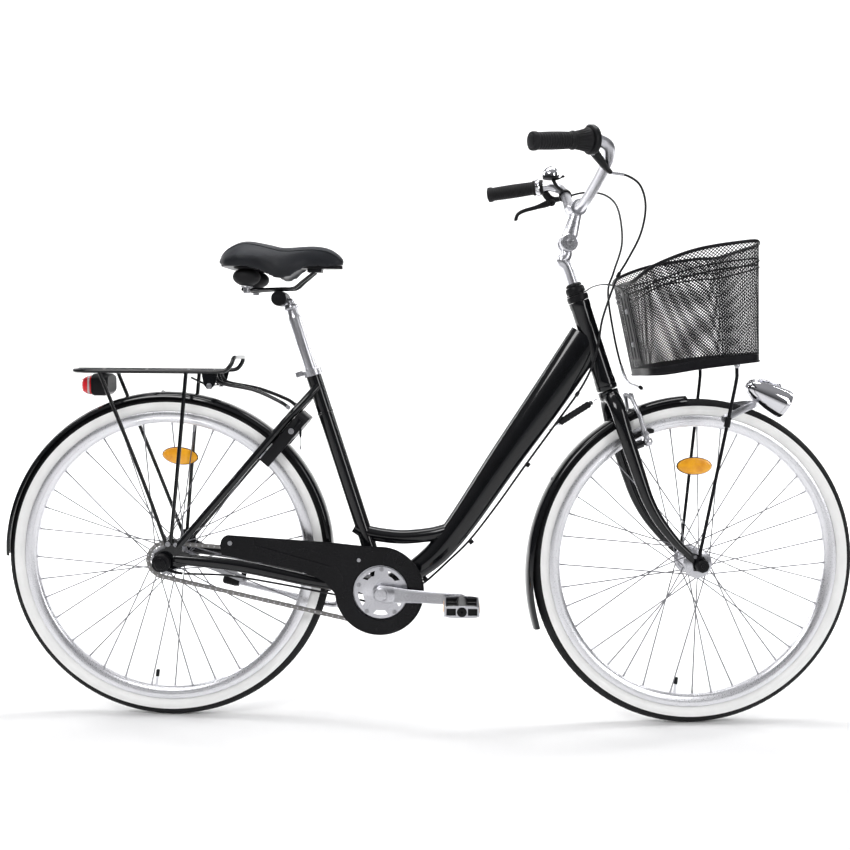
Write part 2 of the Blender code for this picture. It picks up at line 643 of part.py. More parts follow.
def build_pedal(name, side, centre, parent):
    """A platform pedal: a barrel on the axle inside a rectangular cage."""
    inner = side * 0.0800
    outer = side * (0.0800 + PEDAL_LENGTH)
    barrel = [(0.0062, inner), (0.0125, inner), (0.0115, outer), (0.0030, outer),
              (0.0030, outer - side * 0.004),
              (0.0062, outer - side * 0.004)]
    pedal = turned(name, centre, ACROSS, barrel, BLACK_PLASTIC, parent, steps=12, closed=True)
    half_x = 0.0370
    half_z = 0.0125
    bar = 0.0065
    low, high = sorted((inner + side * 0.001, outer - side * 0.001))
    parts = []
    for end in (1.0, -1.0):
        x_a, x_b = sorted((centre.x + end * half_x, centre.x + end * (half_x - bar)))
        parts.append(shape(add_block, (x_a, low, centre.z - half_z), (x_b, high, centre.z + half_z)))
        cross_a, cross_b = sorted((centre.x + end * (half_x - bar - 0.001 + 0.002),
                                   centre.x + end * 0.0080))
        for y in (low, high - 0.010):
            parts.append(shape(add_block, (cross_a, y + 0.0005, centre.z - half_z * 0.8),
                               (cross_b, y + 0.0095, centre.z + half_z * 0.8)))
    combine(pedal, parts)


# ---- wheels -------------------------------------------------------------------------------
def wheel_ring(name, axle, profile, finish_material, parent):
    """A ring whose lowest facet lies flat and square to the ground."""
    stretch = 1.0 / math.cos(math.pi / WHEEL_STEPS)
    grown = [(radius * stretch, along) for radius, along in profile]
    return turned(name, axle, ACROSS, grown, finish_material, parent, WHEEL_STEPS, True, 0.5)


def symmetric(half_profile):
    """Close a profile given for +Y with its mirror image."""
    return half_profile + [(radius, -along) for radius, along in reversed(half_profile)]


def build_tyre_and_rim(prefix, axle, parent):
    half = TYRE_WIDTH / 2.0
    tyre = symmetric([(RIM_BED + GAP, 0.0098), (RIM_OUTER + GAP, 0.0098), (0.3180, 0.0160), (0.3270, half),
                      (0.3400, half * 0.80), (0.3500, half * 0.25)])
    wheel_ring(f"{prefix}_tyre", axle, tyre, TYRE_RUBBER, parent)
    rim = symmetric([(RIM_INNER, 0.0085), (RIM_OUTER, 0.0122), (RIM_OUTER, 0.0101), (RIM_BED, 0.0101)])
    wheel_ring(f"{prefix}_rim", axle, rim, ALLOY, parent)


def build_hub(prefix, axle, profile, flange_right, flange_left, flange_radius, parent):
    """A hub shell with its laced spokes, crossed on each side."""
    hub = turned(f"{prefix}_hub_and_spokes", axle, ACROSS, profile, ALLOY, parent, steps=16, closed=True)
    bm = bmesh.new()
    per_side = SPOKES // 2
    rim_reach = RIM_INNER - 0.0006
    for side_index, flange in enumerate((flange_right, flange_left)):
        for k in range(per_side):
            leading = 1.0 if k % 2 else -1.0
            hole = 2.0 * math.pi * (k + 0.5 * side_index) / per_side
            nipple = 2.0 * math.pi * (k + 0.5 * side_index) / per_side
            hole += leading * math.radians(58.0)
            nipple += leading * math.radians(1.0)
            offset = 0.0016 * leading
            start = axle + Vector((flange_radius * math.cos(hole), flange + offset,
                                   flange_radius * math.sin(hole)))
            toward = 0.003 * (1.0 if flange > 0.0 else -1.0)
            end = axle + Vector((rim_reach * math.cos(nipple), toward + offset * 0.3,
                                 rim_reach * math.sin(nipple)))
            add_sweep(bm, [start, end], SPOKE_RADIUS, 4)
    return combine(hub, [bm])


def build_reflector(name, axle, angle_deg, radius, across, parent):
    """A flat oval reflector clipped between two spokes, square to the spoke through its middle."""
    turn = math.radians(angle_deg)
    out = Vector((math.cos(turn), 0.0, math.sin(turn)))
    along = Vector((math.sin(turn), 0.0, -math.cos(turn)))
    middle = axle + out * radius
    sections = []
    for y in (across - 0.004, across + 0.004):
        ring = []
        for k in range(12):
            spin = 2.0 * math.pi * k / 12
            ring.append(middle + along * 0.0390 * math.cos(spin) + out * 0.0185 * math.sin(spin) + ACROSS * y)
        sections.append(ring)
    bm = bmesh.new()
    add_loft(bm, sections)
    finish(name, bm, AMBER_LENS, parent)


def build_wheels():
    build_tyre_and_rim("rear", REAR_AXLE, rear_wheel)
    build_tyre_and_rim("front", FRONT_AXLE, front_wheel)
    rear_hub = [(0.0062, -0.0405), (0.0250, -0.0405), (0.0300, -0.0345), (0.0300, -0.0275),
                (0.0255, -0.0260),
                (0.0245, 0.0240), (0.0300, 0.0255), (0.0300, 0.0325), (0.0250, 0.0360), (0.0220, 0.0460),
                (0.0062, 0.0460)]
    build_hub("rear", REAR_AXLE, rear_hub, -0.0310, 0.0290, 0.0270, rear_wheel)
    front_hub = [(0.0062, -0.0490), (0.0120, -0.0490), (0.0270, -0.0380), (0.0310, -0.0350),
                 (0.0310, -0.0270),
                 (0.0250, -0.0250), (0.0230, 0.0220), (0.0270, 0.0270), (0.0310, 0.0290), (0.0310, 0.0350),
                 (0.0180, 0.0380), (0.0120, 0.0485), (0.0062, 0.0485)]
    build_hub("front", FRONT_AXLE, front_hub, -0.0310, 0.0320, 0.0275, front_wheel)
    toothed_ring("rear_sprocket", REAR_AXLE, SPROCKET_TEETH, 0.0062, -0.0478, -0.0453, STEEL, rear_sprocket)


# ---- front end ----------------------------------------------------------------------------
def build_fork():
    steerer = [(0.0116, 0.0420), (0.0130, 0.0420), (0.0130, -0.1900), (0.0215, -0.1905), (0.0215, -0.2080),
               (0.0150, -0.2150), (0.0050, -0.2150), (0.0050, -0.1000), (0.0116, -0.0980)]
    fork = turned("fork", HEAD_POINT, HEAD_AXIS, steerer, BLACK_PAINT, steering, steps=16, closed=True)
    parts = []
    blade = [(0.937, 0.006, 0.706), (0.943, 0.024, 0.699), (0.951, 0.039, 0.675), (0.963, 0.0445, 0.632),
             (0.998, 0.0480, 0.530), (1.016, 0.0495, 0.4834), (1.041, 0.0510, 0.4400),
             (1.076, 0.0525, 0.3970),
             (1.104, 0.0530, 0.3710)]
    count = len(blade)
    sizes = []
    for i in range(count):
        share = i / (count - 1)
        sizes.append((0.0125 - 0.0050 * share, 0.0165 - 0.0085 * share))
    end_plate = [(1.094, 0.3700), (1.110, 0.3860), (1.122, 0.3870), (1.132, 0.3850), (1.141, 0.3600),
                 (1.143, 0.3470), (1.135, 0.3370), (1.1335, 0.3370), (1.1335, 0.3500), (1.1320, 0.3545),
                 (1.1280, 0.3562), (1.1240, 0.3545), (1.1225, 0.3500), (1.1225, 0.3370), (1.1190, 0.3380)]
    for side in (1.0, -1.0):
        path = [(x, y * side, z) for x, y, z in blade]
        parts.append(shape(add_sweep, path, sizes, 8, ACROSS))
        low, high = sorted((side * (FRONT_DROPOUT - 0.0025), side * (FRONT_DROPOUT + 0.0025)))
        parts.append(shape(add_prism, end_plate, low, high))
        post_base = BRAKE_PIVOT.copy()
        post_base.y *= side
        parts.append(shape(add_sweep, [post_base - HEAD_SQUARE * 0.020, post_base + HEAD_SQUARE * 0.0050],
                           0.0070, 8))
    combine(fork, parts)


def build_front_axle():
    half = FRONT_DROPOUT + 0.0028
    cap = [(0.0060, -half - 0.0190), (0.0125, -half - 0.0175), (0.0140, -half - 0.0120), (0.0140, -half),
           (0.0050, -half)]
    profile = cap + [(r, -y) for r, y in reversed(cap)]
    turned("front_axle", FRONT_AXLE, ACROSS, profile, BLACK_PLASTIC, steering, steps=12)


def build_front_fender():
    bm = bmesh.new()
    add_fender(bm, FRONT_AXLE, 94.0, 202.5, 13, 145.0, 0.0170)
    finish("front_fender", bm, BLACK_PAINT, steering)


def build_basket():
    """An open basket: one thin wall all round and a floor, higher at the front."""
    wall = 0.0030
    low = [(1.009, 0.070, 0.7500), (1.034, 0.110, 0.7525), (1.095, 0.130, 0.7635), (1.195, 0.128, 0.7765),
           (1.220, 0.112, 0.7790), (1.227, 0.080, 0.7810)]
    high = [(0.968, 0.075, 0.9410), (0.992, 0.145, 0.9660), (1.070, 0.168, 0.9960), (1.175, 0.166, 1.0140),
            (1.202, 0.145, 1.0135), (1.210, 0.100, 1.0120)]

    def loop(points, shrink, lift):
        middle = (points[0][0] + points[-1][0]) / 2.0
        reach = points[-1][0] - middle
        ring = []
        for x, y, z in points + mirrored(reversed(points)):
            ring.append((middle + (x - middle) * (1.0 - shrink / reach),
                         y * (1.0 - shrink / 0.13), z + lift))
        return ring

    sections = [loop(low, 0.0, 0.0), loop(high, 0.0, 0.0), loop(high, wall, 0.0), loop(low, wall, wall)]
    bm = bmesh.new()
    add_loft(bm, sections)
    basket = finish("basket", bm, BLACK_PAINT, steering)
    struts = []
    for side in (-1.0, 1.0):
        path = [(1.1740, side * 0.1120, 0.7770), (1.1740, side * 0.1110, 0.7330),
                (1.1270, side * 0.0660, 0.4050), (1.1230, side * 0.0625, 0.3850)]
        struts.append(shape(add_sweep, path, 0.0036, 6))
    combine(basket, struts)


def build_basket_bracket():
    """Plate behind the basket, with a strap that runs back to the headset's locknut."""
    thin = 0.0014
    bm = bmesh.new()
    plate = [(0.9692, 0.0, 0.9180), (0.9996, 0.0, 0.7790)]
    add_sweep(bm, plate, [(0.034, thin)] * 2, 8, ACROSS)
    bracket = finish("basket_bracket", bm, BLACK_PAINT, steering)
    start = HEAD_POINT + HEAD_AXIS * 0.0235 + HEAD_SQUARE * 0.0190
    strap = [start, (0.9030, 0.0, 0.9350), (0.9300, 0.0, 0.9400), (0.9600, 0.0, 0.9320),
             (0.9705, 0.0, 0.9120)]
    ring = [(0.0164, 0.0220), (0.0215, 0.0220), (0.0215, 0.0250), (0.0164, 0.0250)]
    combine(bracket, [shape(add_sweep, strap, [(0.012, thin)] * len(strap), 8, ACROSS),
                      shape(add_turned, HEAD_POINT, HEAD_AXIS, ring, 16, True)])


def build_headlamp():
    droop = math.radians(27.0)
    aim = Vector((math.cos(droop), 0.0, -math.sin(droop)))
    front = Vector((1.3245, 0.0, 0.6870))
    shell = [(0.0305, 0.0), (0.0320, -0.004), (0.0310, -0.014), (0.0270, -0.045), (0.0190, -0.078),
             (0.0090, -0.093), (0.0040, -0.093), (0.0040, -0.089), (0.0165, -0.076), (0.0240, -0.045),
             (0.0275, -0.014), (0.0275, 0.0)]
    lamp = turned("headlamp_shell", front, aim, shell, CHROME, steering, steps=16, closed=True)
    leg = [(1.2560, 0.0, 0.6965), (1.2470, 0.0, 0.7070), (1.2440, 0.0, 0.7160)]
    strip = [(1.2470, 0.0, 0.7370), (1.2640, 0.0, 0.7410), (1.2960, 0.0, 0.7340)]
    combine(lamp, [shape(add_sweep, leg, [(0.0060, 0.0013)] * len(leg), 8, ACROSS),
                   shape(add_sweep, strip, [(0.0060, 0.0025)] * len(strip), 8, ACROSS)])
    lens = [(0.0262, -0.0100), (0.0262, -0.0040), (0.0200, 0.0010), (0.0080, 0.0030)]
    turned("headlamp_lens", front, aim, lens, CLEAR_LENS, steering, steps=16)
    bm = bmesh.new()
    half = [(1.1550, 0.0890, 0.6580), (1.1950, 0.0720, 0.6740), (1.2440, 0.0300, 0.6870),
            (1.2560, 0.0, 0.6880)]
    strap = mirrored(half) + list(reversed(half[:-1]))
    add_sweep(bm, strap, [(0.0075, 0.0011)] * len(strap), 8, UP)
    finish("headlamp_bracket", bm, ALLOY, steering)


def build_v_brake():
    """One arm on each fork blade, with its pad, on a pivot square to the blade."""
    for name, side in (("brake_arm_right", -1.0), ("brake_arm_left", 1.0)):
        root = BRAKE_PIVOT.copy()
        root.y *= side
        centre_y = Vector((0.0, -side, 0.0))
        brake_pivot = pivot(f"{name}_pivot", root, steering)
        face = root + HEAD_SQUARE * 0.0056
        barrel = [(0.0095, 0.0), (0.0095, 0.0120)]
        arm = turned(name, face, HEAD_SQUARE, barrel, ALLOY, brake_pivot, steps=12)
        base = face + HEAD_SQUARE * 0.0060
        top = base + HEAD_AXIS * 0.100 + centre_y * 0.0190
        upright = shape(add_sweep, [base, base + HEAD_AXIS * 0.060 - centre_y * 0.002, top], 0.0050, 8)
        shoe = root + HEAD_AXIS * 0.0180 + HEAD_SQUARE * 0.0120 + centre_y * 0.0200
        rest = shape(add_sweep, [base + HEAD_AXIS * 0.0180, shoe], 0.0042, 8)
        run = Vector((0.93, 0.0, 0.36)).normalized()
        pad = shape(add_sweep, [shoe - run * 0.024, shoe + run * 0.024], 0.0050, 8)
        combine(arm, [upright, rest, pad])


def build_stem():
    quill_end = on_head_axis(-0.080)
    bend = on_head_axis(0.098)
    route = [quill_end, on_head_axis(0.070), bend, (0.8440, 0.0, 0.9990), (0.8447, 0.0, 1.0045),
             (0.8460, 0.0, 1.0180)]
    sizes = [(0.0110, 0.0110)] * 4 + [(0.0074, 0.0105)] * 2
    quill = swept("stem_quill", route, sizes, ALLOY, steering, sides=12, flat_side=ACROSS)
    knuckle = shape(add_turned, STEM_PIVOT, ACROSS, [(0.0170, -0.0080), (0.0170, 0.0080)], 16)
    combine(quill, [knuckle])
    cheek = [(0.0175, 0.0084), (0.0190, 0.0100), (0.0190, 0.0190), (0.0150, 0.0215)]
    head = turned("stem_head", STEM_PIVOT, ACROSS, cheek, ALLOY, bars, steps=16)
    other = shape(add_turned, STEM_PIVOT, ACROSS, [(r, -y) for r, y in cheek], 16)
    run = BAR_CENTRE - STEM_PIVOT
    start = STEM_PIVOT + run * 0.36
    parts = [other]
    for side in (1.0, -1.0):
        fork_path = [STEM_PIVOT + Vector((0.0, side * 0.0150, 0.0)),
                     start + Vector((0.0, side * 0.0130, 0.0)),
                     STEM_PIVOT + run * 0.60 + Vector((0.0, side * 0.006, 0.0))]
        fork_sizes = [(0.0035, 0.0120), (0.0050, 0.0120), (0.0090, 0.0110)]
        parts.append(shape(add_sweep, fork_path, fork_sizes, 8, ACROSS))
    neck = [STEM_PIVOT + run * 0.52, BAR_CENTRE - run * 0.18]
    parts.append(shape(add_sweep, neck, [(0.0130, 0.0120), (0.0150, 0.0110)], 10, ACROSS))
    parts.append(shape(add_turned, BAR_CENTRE, ACROSS, [(0.0170, -0.0190), (0.0170, 0.0190)], 16))
    combine(head, parts)
    bore = shape(add_turned, BAR_CENTRE, ACROSS, [(0.0132, -0.03), (0.0132, 0.03)], 16)
    combine(head, [bore], "DIFFERENCE")


GRIP_FRONT = Vector((0.8130, 0.2560, 1.1830))
GRIP_END = Vector((0.7180, GRIP_HALF - 0.0015, 1.1720))
GRIP_RUN = (GRIP_END - GRIP_FRONT).normalized()
GRIP_BORE = BAR_RADIUS + 0.0008


def build_handlebar():
    bend = GRIP_FRONT - GRIP_RUN * 0.042
    half = [(0.8665, 0.0, 1.0985), (0.8665, 0.0300, 1.0985), (0.8680, 0.0750, 1.1030),
            (0.8750, 0.1300, 1.1260),
            (0.8800, 0.1750, 1.1480), (0.8810, 0.2050, 1.1640), (0.8740, 0.2300, 1.1790), tuple(bend),
            tuple(GRIP_FRONT + GRIP_RUN * 0.0975)]
    path = mirrored(reversed(half)) + half[1:]
    sizes = []
    for _x, y, _z in path:
        sizes.append(0.0125 if abs(y) < 0.035 else BAR_RADIUS)
    swept("handlebar", path, sizes, ALLOY, bars, sides=10)
    length = 0.1030
    for name, side, shorter in (("grip_right", -1.0, 0.012), ("grip_left", 1.0, -0.0110)):
        grip = [(GRIP_BORE, shorter), (0.0155, shorter), (0.0150, 0.0200), (0.0150, 0.0900),
                (0.0170, length - 0.004),
                (0.0150, length), (0.0040, length), (0.0040, length - 0.003), (GRIP_BORE, length - 0.004)]
        start = Vector((GRIP_FRONT.x, side * GRIP_FRONT.y, GRIP_FRONT.z))
        run = Vector((GRIP_RUN.x, side * GRIP_RUN.y, GRIP_RUN.z))
        turned(name, start, run, grip, BLACK_RUBBER, bars, steps=12, closed=True)


def mirror_y(vector):
    return Vector((vector.x, -vector.y, vector.z))


def build_twist_shifter():
    """Housing and turning sleeve on the right of the bar, in front of the grip."""
    start = mirror_y(GRIP_FRONT)
    run = mirror_y(GRIP_RUN)
    bore = GRIP_BORE
    twist = pivot("twist_shifter_pivot", start, bars)
    sleeve = [(bore, 0.0112), (0.0165, 0.0112), (0.0185, -0.0050), (0.0225, -0.0190), (bore, -0.0190)]
    turned("twist_shifter_sleeve", start, run, sleeve, BLACK_RUBBER, twist, steps=14, closed=True)
    housing = [(bore, -0.0194), (0.0240, -0.0194), (0.0270, -0.0250), (0.0270, -0.0290), (0.0200, -0.0330),
               (bore + 0.0012, -0.0330)]
    box = turned("twist_shifter_housing", start, run, housing, BLACK_PLASTIC, bars, steps=16, closed=True)
    snout = shape(add_sweep, [(0.8480, -0.2480, 1.1620), (0.8720, -0.2150, 1.1440),
                              (0.8870, -0.1900, 1.1390)],
                  [0.0085, 0.0070, 0.0045], 8)
    combine(box, [snout])
    return twist


LEVER_PIVOT = Vector((0.8620, 0.2560, 1.1540))
LEVER_AXIS = Vector((0.21, 0.78, 0.585)).normalized()


def build_brake_lever():
    ring_at = GRIP_FRONT - GRIP_RUN * 0.022
    ring = [(GRIP_BORE, -0.0060), (0.0155, -0.0060), (0.0155, 0.0060), (GRIP_BORE, 0.0060)]
    mount = turned("brake_lever_mount", ring_at, GRIP_RUN, ring, BLACK_PLASTIC, bars, steps=12, closed=True)
    body_at = LEVER_PIVOT + LEVER_AXIS * 0.0110
    arm = [ring_at + Vector((0.0030, 0.0020, -0.0185)), body_at,
           body_at + Vector((0.0240, -0.0080, 0.0010))]
    cheek = shape(add_turned, LEVER_PIVOT, LEVER_AXIS, [(0.0080, 0.0005), (0.0080, 0.0080)], 10)
    combine(mount, [shape(add_sweep, arm, [0.0065, 0.0075, 0.0055], 8), cheek])
    lever_at = pivot("brake_lever_pivot", LEVER_PIVOT, bars)
    barrel = [(0.0080, -0.0080), (0.0080, 0.0)]
    lever = turned("brake_lever", LEVER_PIVOT, LEVER_AXIS, barrel, BLACK_PLASTIC, lever_at, steps=10)
    blade = smooth_path([LEVER_PIVOT - LEVER_AXIS * 0.0040, (0.8280, 0.2700, 1.1420), (0.8020, 0.2860, 1.1360),
                         (0.7890, 0.2960, 1.1290), (0.7850, 0.3010, 1.1180)], 2)
    sizes = [(0.0036, 0.0062)] * (len(blade) - 1) + [(0.0042, 0.0050)]
    combine(lever, [shape(add_sweep, blade, sizes, 8, LEVER_AXIS)])


def build_bell():
    spot = Vector((0.8805, 0.1900, 1.1560))
    run = Vector((0.0010, 0.0300, 0.0160)).normalized()
    ring = [(GRIP_BORE, -0.0055), (0.0150, -0.0055), (0.0150, 0.0055), (GRIP_BORE, 0.0055)]
    base = turned("bell", spot, run, ring, BLACK_PLASTIC, bars, steps=12, closed=True)
    top = Vector((0.8480, 0.2000, 1.1950))
    neck = shape(add_sweep, [spot + Vector((-0.0160, 0.0000, 0.0060)), top + Vector((0.0, 0.0, 0.0)),
                             top + Vector((0.0, 0.0, 0.0060))], [0.0055, 0.0065, 0.0090], 8)
    combine(base, [neck])
    dome = [(0.0195, 0.0055), (0.0200, 0.0090), (0.0175, 0.0200), (0.0110, 0.0265), (0.0030, 0.0285)]
    combine(base, [shape(add_turned, top, UP, dome, 16)])
    striker_at = pivot("bell_striker_pivot", top + Vector((0.0, 0.0, -0.0045)), bars)
    striker = swept("bell_striker", [top + Vector((0.0100, -0.001, -0.0015)),
                                     top + Vector((0.0200, -0.003, 0.0015)),
                                    top + Vector((0.0275, -0.005, 0.0060))], [0.0020, 0.0024, 0.0036],
                    BLACK_PLASTIC, striker_at, sides=6)
    return striker


# ---- saddle -------------------------------------------------------------------------------
SADDLE_STATIONS = (
    # x, half width, top, lower edge
    (0.1205, 0.056, 0.9930, 0.9700),
    (0.1400, 0.090, 1.0130, 0.9640),
    (0.1740, 0.104, 1.0263, 0.9640),
    (0.2080, 0.101, 1.0225, 0.9580),
    (0.2350, 0.088, 1.0165, 0.9450),
    (0.2484, 0.076, 1.0141, 0.9390),
    (0.2700, 0.056, 1.0150, 0.9480),
    (0.2950, 0.040, 1.0178, 0.9640),
    (0.3180, 0.032, 1.0187, 0.9690),
    (0.3450, 0.027, 1.0140, 0.9680),
    (0.3650, 0.021, 1.0020, 0.9700),
    (0.3770, 0.011, 0.9890, 0.9750),
)
SADDLE_DECK = 0.9760             # underside of the padding inside the skirt


def build_saddle():
    outer = []
    for x, half, top, edge in SADDLE_STATIONS:
        ring = []
        rise = top - edge
        ring.append((x, -half * 0.86, edge))
        ring.append((x, -half, edge + rise * 0.30))
        ring.append((x, -half * 0.93, edge + rise * 0.66))
        ring.append((x, -half * 0.62, edge + rise * 0.93))
        ring.append((x, 0.0, top))
        ring.append((x, half * 0.62, edge + rise * 0.93))
        ring.append((x, half * 0.93, edge + rise * 0.66))
        ring.append((x, half, edge + rise * 0.30))
        ring.append((x, half * 0.86, edge))
        inset = half * 0.86 - min(0.012, half * 0.3)
        lift = min(SADDLE_DECK, edge + rise * 0.55)
        ring.append((x, inset, edge + 0.0015))
        ring.append((x, inset * 0.86, lift))
        ring.append((x, -inset * 0.86, lift))
        ring.append((x, -inset, edge + 0.0015))
        outer.append(ring)
    bm = bmesh.new()
    add_loft(bm, outer)
    finish("saddle_pad", bm, SADDLE_COVER, saddle)
    plate = []
    for x, half, _top, _edge in SADDLE_STATIONS[1:-1]:
        wide = (half * 0.86 - min(0.012, half * 0.3)) * 0.80
        high = SADDLE_DECK - 0.0006
        if x > 0.30:
            high = min(high, 0.9730)
        plate.append([(x, -wide, high - 0.0045), (x, wide, high - 0.0045), (x, wide, high),
                      (x, -wide, high)])
    bm = bmesh.new()
    add_loft(bm, plate)
    shell = finish("saddle_shell", bm, BLACK_PLASTIC, saddle)
    spring = [(0.0085, -0.0620), (0.0105, -0.0500), (0.0120, -0.0450), (0.0220, -0.0440), (0.0270, -0.0300),
              (0.0285, -0.0200), (0.0090, -0.0190), (0.0090, -0.0030)]
    combine(shell, [shape(add_turned, (0.1790, side * 0.0540, SADDLE_DECK), UP, spring, 12)
                    for side in (-1.0, 1.0)])


def build_saddle_rails():
    route = [(0.1790, 0.0400, 0.9215), (0.2050, 0.0250, 0.9235), (0.2450, 0.0220, 0.9253),
             (0.2720, 0.0215, 0.9270),
             (0.2900, 0.0190, 0.9410), (0.3150, 0.0130, 0.9610)]
    rails = swept("saddle_rails", smooth_path(route, 2), 0.0035, BLACK_PAINT, saddle, sides=6)
    other = shape(add_sweep, smooth_path(mirrored(route), 2), 0.0035, 6)
    nose = shape(add_sweep, [(0.3120, -0.0145, 0.9590), (0.3120, 0.0145, 0.9590)], 0.0040, 6)
    combine(rails, [other, nose])


def build_seat_post():
    top = SEAT_TUBE_TOP + SEAT_AXIS * 0.146
    bottom = SEAT_TUBE_TOP - SEAT_AXIS * 0.160
    swept("seat_post", [bottom, top], POST_RADIUS, ALLOY, post, sides=14)
    barrel = [(0.0120, -0.0320), (0.0160, -0.0300), (0.0160, 0.0300), (0.0120, 0.0320)]
    head = turned("saddle_clamp", SADDLE_PIVOT, ACROSS, barrel, BLACK_PLASTIC, post, steps=16)
    collar = shape(add_turned, top + SEAT_AXIS * GAP, SEAT_AXIS, [(0.0160, 0.0), (0.0150, 0.0120)], 14)
    combine(head, [collar])


# ---- cables -------------------------------------------------------------------------------
def straight_to_rest(point):
    """Where a point of the straight front end stands once the steering is turned."""
    turn = Matrix.Rotation(STEER_REST, 4, HEAD_AXIS)
    return turn @ (Vector(point) - HEAD_POINT) + HEAD_POINT


def cable(name, route, radius):
    """A cable along its whole route, as a curve with a round bevel and filled caps."""
    curve = bpy.data.curves.new(name, "CURVE")
    curve.dimensions = "3D"
    curve.bevel_depth = radius
    curve.bevel_resolution = 0
    curve.use_fill_caps = True
    points = smooth_path(route, 2)
    spline = curve.splines.new("POLY")
    spline.points.add(len(points) - 1)
    for point, target in zip(spline.points, points):
        point.co = (*target, 1.0)
    curve.materials.append(BLACK_PLASTIC)
    thing = bpy.data.objects.new(name, curve)
    bpy.context.collection.objects.link(thing)
    return thing


def build_cables():
    shift = [straight_to_rest(p) for p in ((0.8915, -0.1880, 1.1372), (0.9285, -0.1700, 1.1353),
                                          (0.9620, -0.1420, 1.1210), (0.9810, -0.1120, 1.0850),
                                          (0.9790, -0.0850, 1.0350), (0.9590, -0.0620, 0.9850),
                                          (0.9390, -0.0500, 0.9450))]
    shift += [Vector(p) for p in ((0.9180, -0.0420, 0.8700), (0.9120, -0.0330, 0.8250),
                                  (0.9030, -0.0300, 0.7790), (0.8780, -0.0230, 0.7220),
                                  (0.8260, -0.0080, 0.6430), (0.7640, -0.0050, 0.5545),
                                  (0.7030, -0.0050, 0.4660), (0.6480, -0.0050, 0.3930),
                                  (0.6060, -0.0050, 0.3500), (0.5500, -0.0050, 0.2980),
                                  (0.5000, -0.0080, 0.2680))]
    cable("shift_cable", shift, 0.0022)
    brake = [straight_to_rest(p) for p in ((0.8960, 0.2560, 1.1660), (0.9400, 0.2420, 1.1740),
                                          (0.9750, 0.1950, 1.1600), (0.9900, 0.1400, 1.1200),
                                          (0.9870, 0.0900, 1.0400), (0.9620, 0.0620, 0.9720),
                                          (0.9480, 0.0520, 0.9250), (0.9620, 0.0470, 0.8300),
                                          (0.9800, 0.0440, 0.7600), (0.9900, 0.0300, 0.7340),
                                          (0.9970, 0.0, 0.7270), (1.0010, -0.0170, 0.7240))]
    cable("front_brake_cable", brake, 0.0022)


def build_steering_spring():
    """Sleeved coil that pulls the fork straight, hooked to the down tube and the fork crown."""
    tail = Vector((0.8125, 0.0, 0.6310))
    nose = straight_to_rest((0.9150, 0.0, 0.6980))
    run = nose - tail
    route = [tail, tail + run * 0.22, tail + run * 0.23, tail + run * 0.86, tail + run * 0.87, nose]
    sizes = [0.0018, 0.0018, 0.0075, 0.0075, 0.0018, 0.0018]
    swept("steering_spring", route, sizes, BLACK_RUBBER, sides=8)


build_frame()
build_ring_lock()
build_headset()
build_bottom_bracket()
build_rear_fender()
build_carrier()
build_rear_lamp()
build_rear_axle()
build_coaster_arm()
build_seat_clamp()
build_kickstand()
build_chain()
build_chainguard()
build_cranks()
build_pedal("pedal_right", -1.0, PEDAL_RIGHT, pedal_right_pivot)
build_pedal("pedal_left", 1.0, PEDAL_LEFT, pedal_left_pivot)
build_wheels()
build_reflector("rear_reflector", REAR_AXLE, 84.0, 0.2190, 0.0, rear_wheel)
build_reflector("front_reflector", FRONT_AXLE, 90.0, 0.2050, 0.0, front_wheel)
build_fork()
build_front_axle()
build_front_fender()
build_basket()
build_basket_bracket()
build_headlamp()
build_v_brake()
build_stem()
build_handlebar()
build_twist_shifter()
build_brake_lever()
build_bell()
build_saddle()
build_saddle_rails()
build_seat_post()
build_cables()
build_steering_spring()
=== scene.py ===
import json
import math
from math import cos, pi, radians, sin

import bmesh
import bpy
from mathutils import Matrix, Vector
from mathutils.bvhtree import BVHTree


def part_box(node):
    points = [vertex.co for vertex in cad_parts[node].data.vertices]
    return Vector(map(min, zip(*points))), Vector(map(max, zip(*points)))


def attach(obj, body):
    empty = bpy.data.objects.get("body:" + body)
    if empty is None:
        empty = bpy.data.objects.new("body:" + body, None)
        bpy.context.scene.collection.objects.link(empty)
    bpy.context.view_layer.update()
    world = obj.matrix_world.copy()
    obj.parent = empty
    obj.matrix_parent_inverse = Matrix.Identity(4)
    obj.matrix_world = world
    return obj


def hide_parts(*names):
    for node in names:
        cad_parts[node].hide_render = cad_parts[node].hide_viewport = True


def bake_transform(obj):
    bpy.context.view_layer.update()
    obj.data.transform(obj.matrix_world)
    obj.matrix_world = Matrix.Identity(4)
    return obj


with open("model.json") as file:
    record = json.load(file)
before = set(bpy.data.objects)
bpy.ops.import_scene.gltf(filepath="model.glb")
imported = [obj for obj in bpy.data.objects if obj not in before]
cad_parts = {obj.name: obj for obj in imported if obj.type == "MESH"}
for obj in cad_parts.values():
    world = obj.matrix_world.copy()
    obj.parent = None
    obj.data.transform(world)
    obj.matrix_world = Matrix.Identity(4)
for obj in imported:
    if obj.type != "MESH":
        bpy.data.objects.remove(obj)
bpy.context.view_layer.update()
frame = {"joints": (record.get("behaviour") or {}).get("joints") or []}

# The looks of a step-through city bicycle, in metres. Places come from the frame's joints and nodes.
# Pieces of the front end are drawn with the steering straight ahead, then turned as the frame stands.

JOINTS = {joint["name"]: joint for joint in frame["joints"]}


def at(x, y, z):
    return Vector((x, y, z))


ACROSS = at(0.0, 1.0, 0.0)
UP = at(0.0, 0.0, 1.0)
AHEAD = at(1.0, 0.0, 0.0)


def joint_place(name):
    return Vector(JOINTS[name]["pos_m"])


def joint_axis(name):
    return Vector(JOINTS[name]["axis"]).normalized()


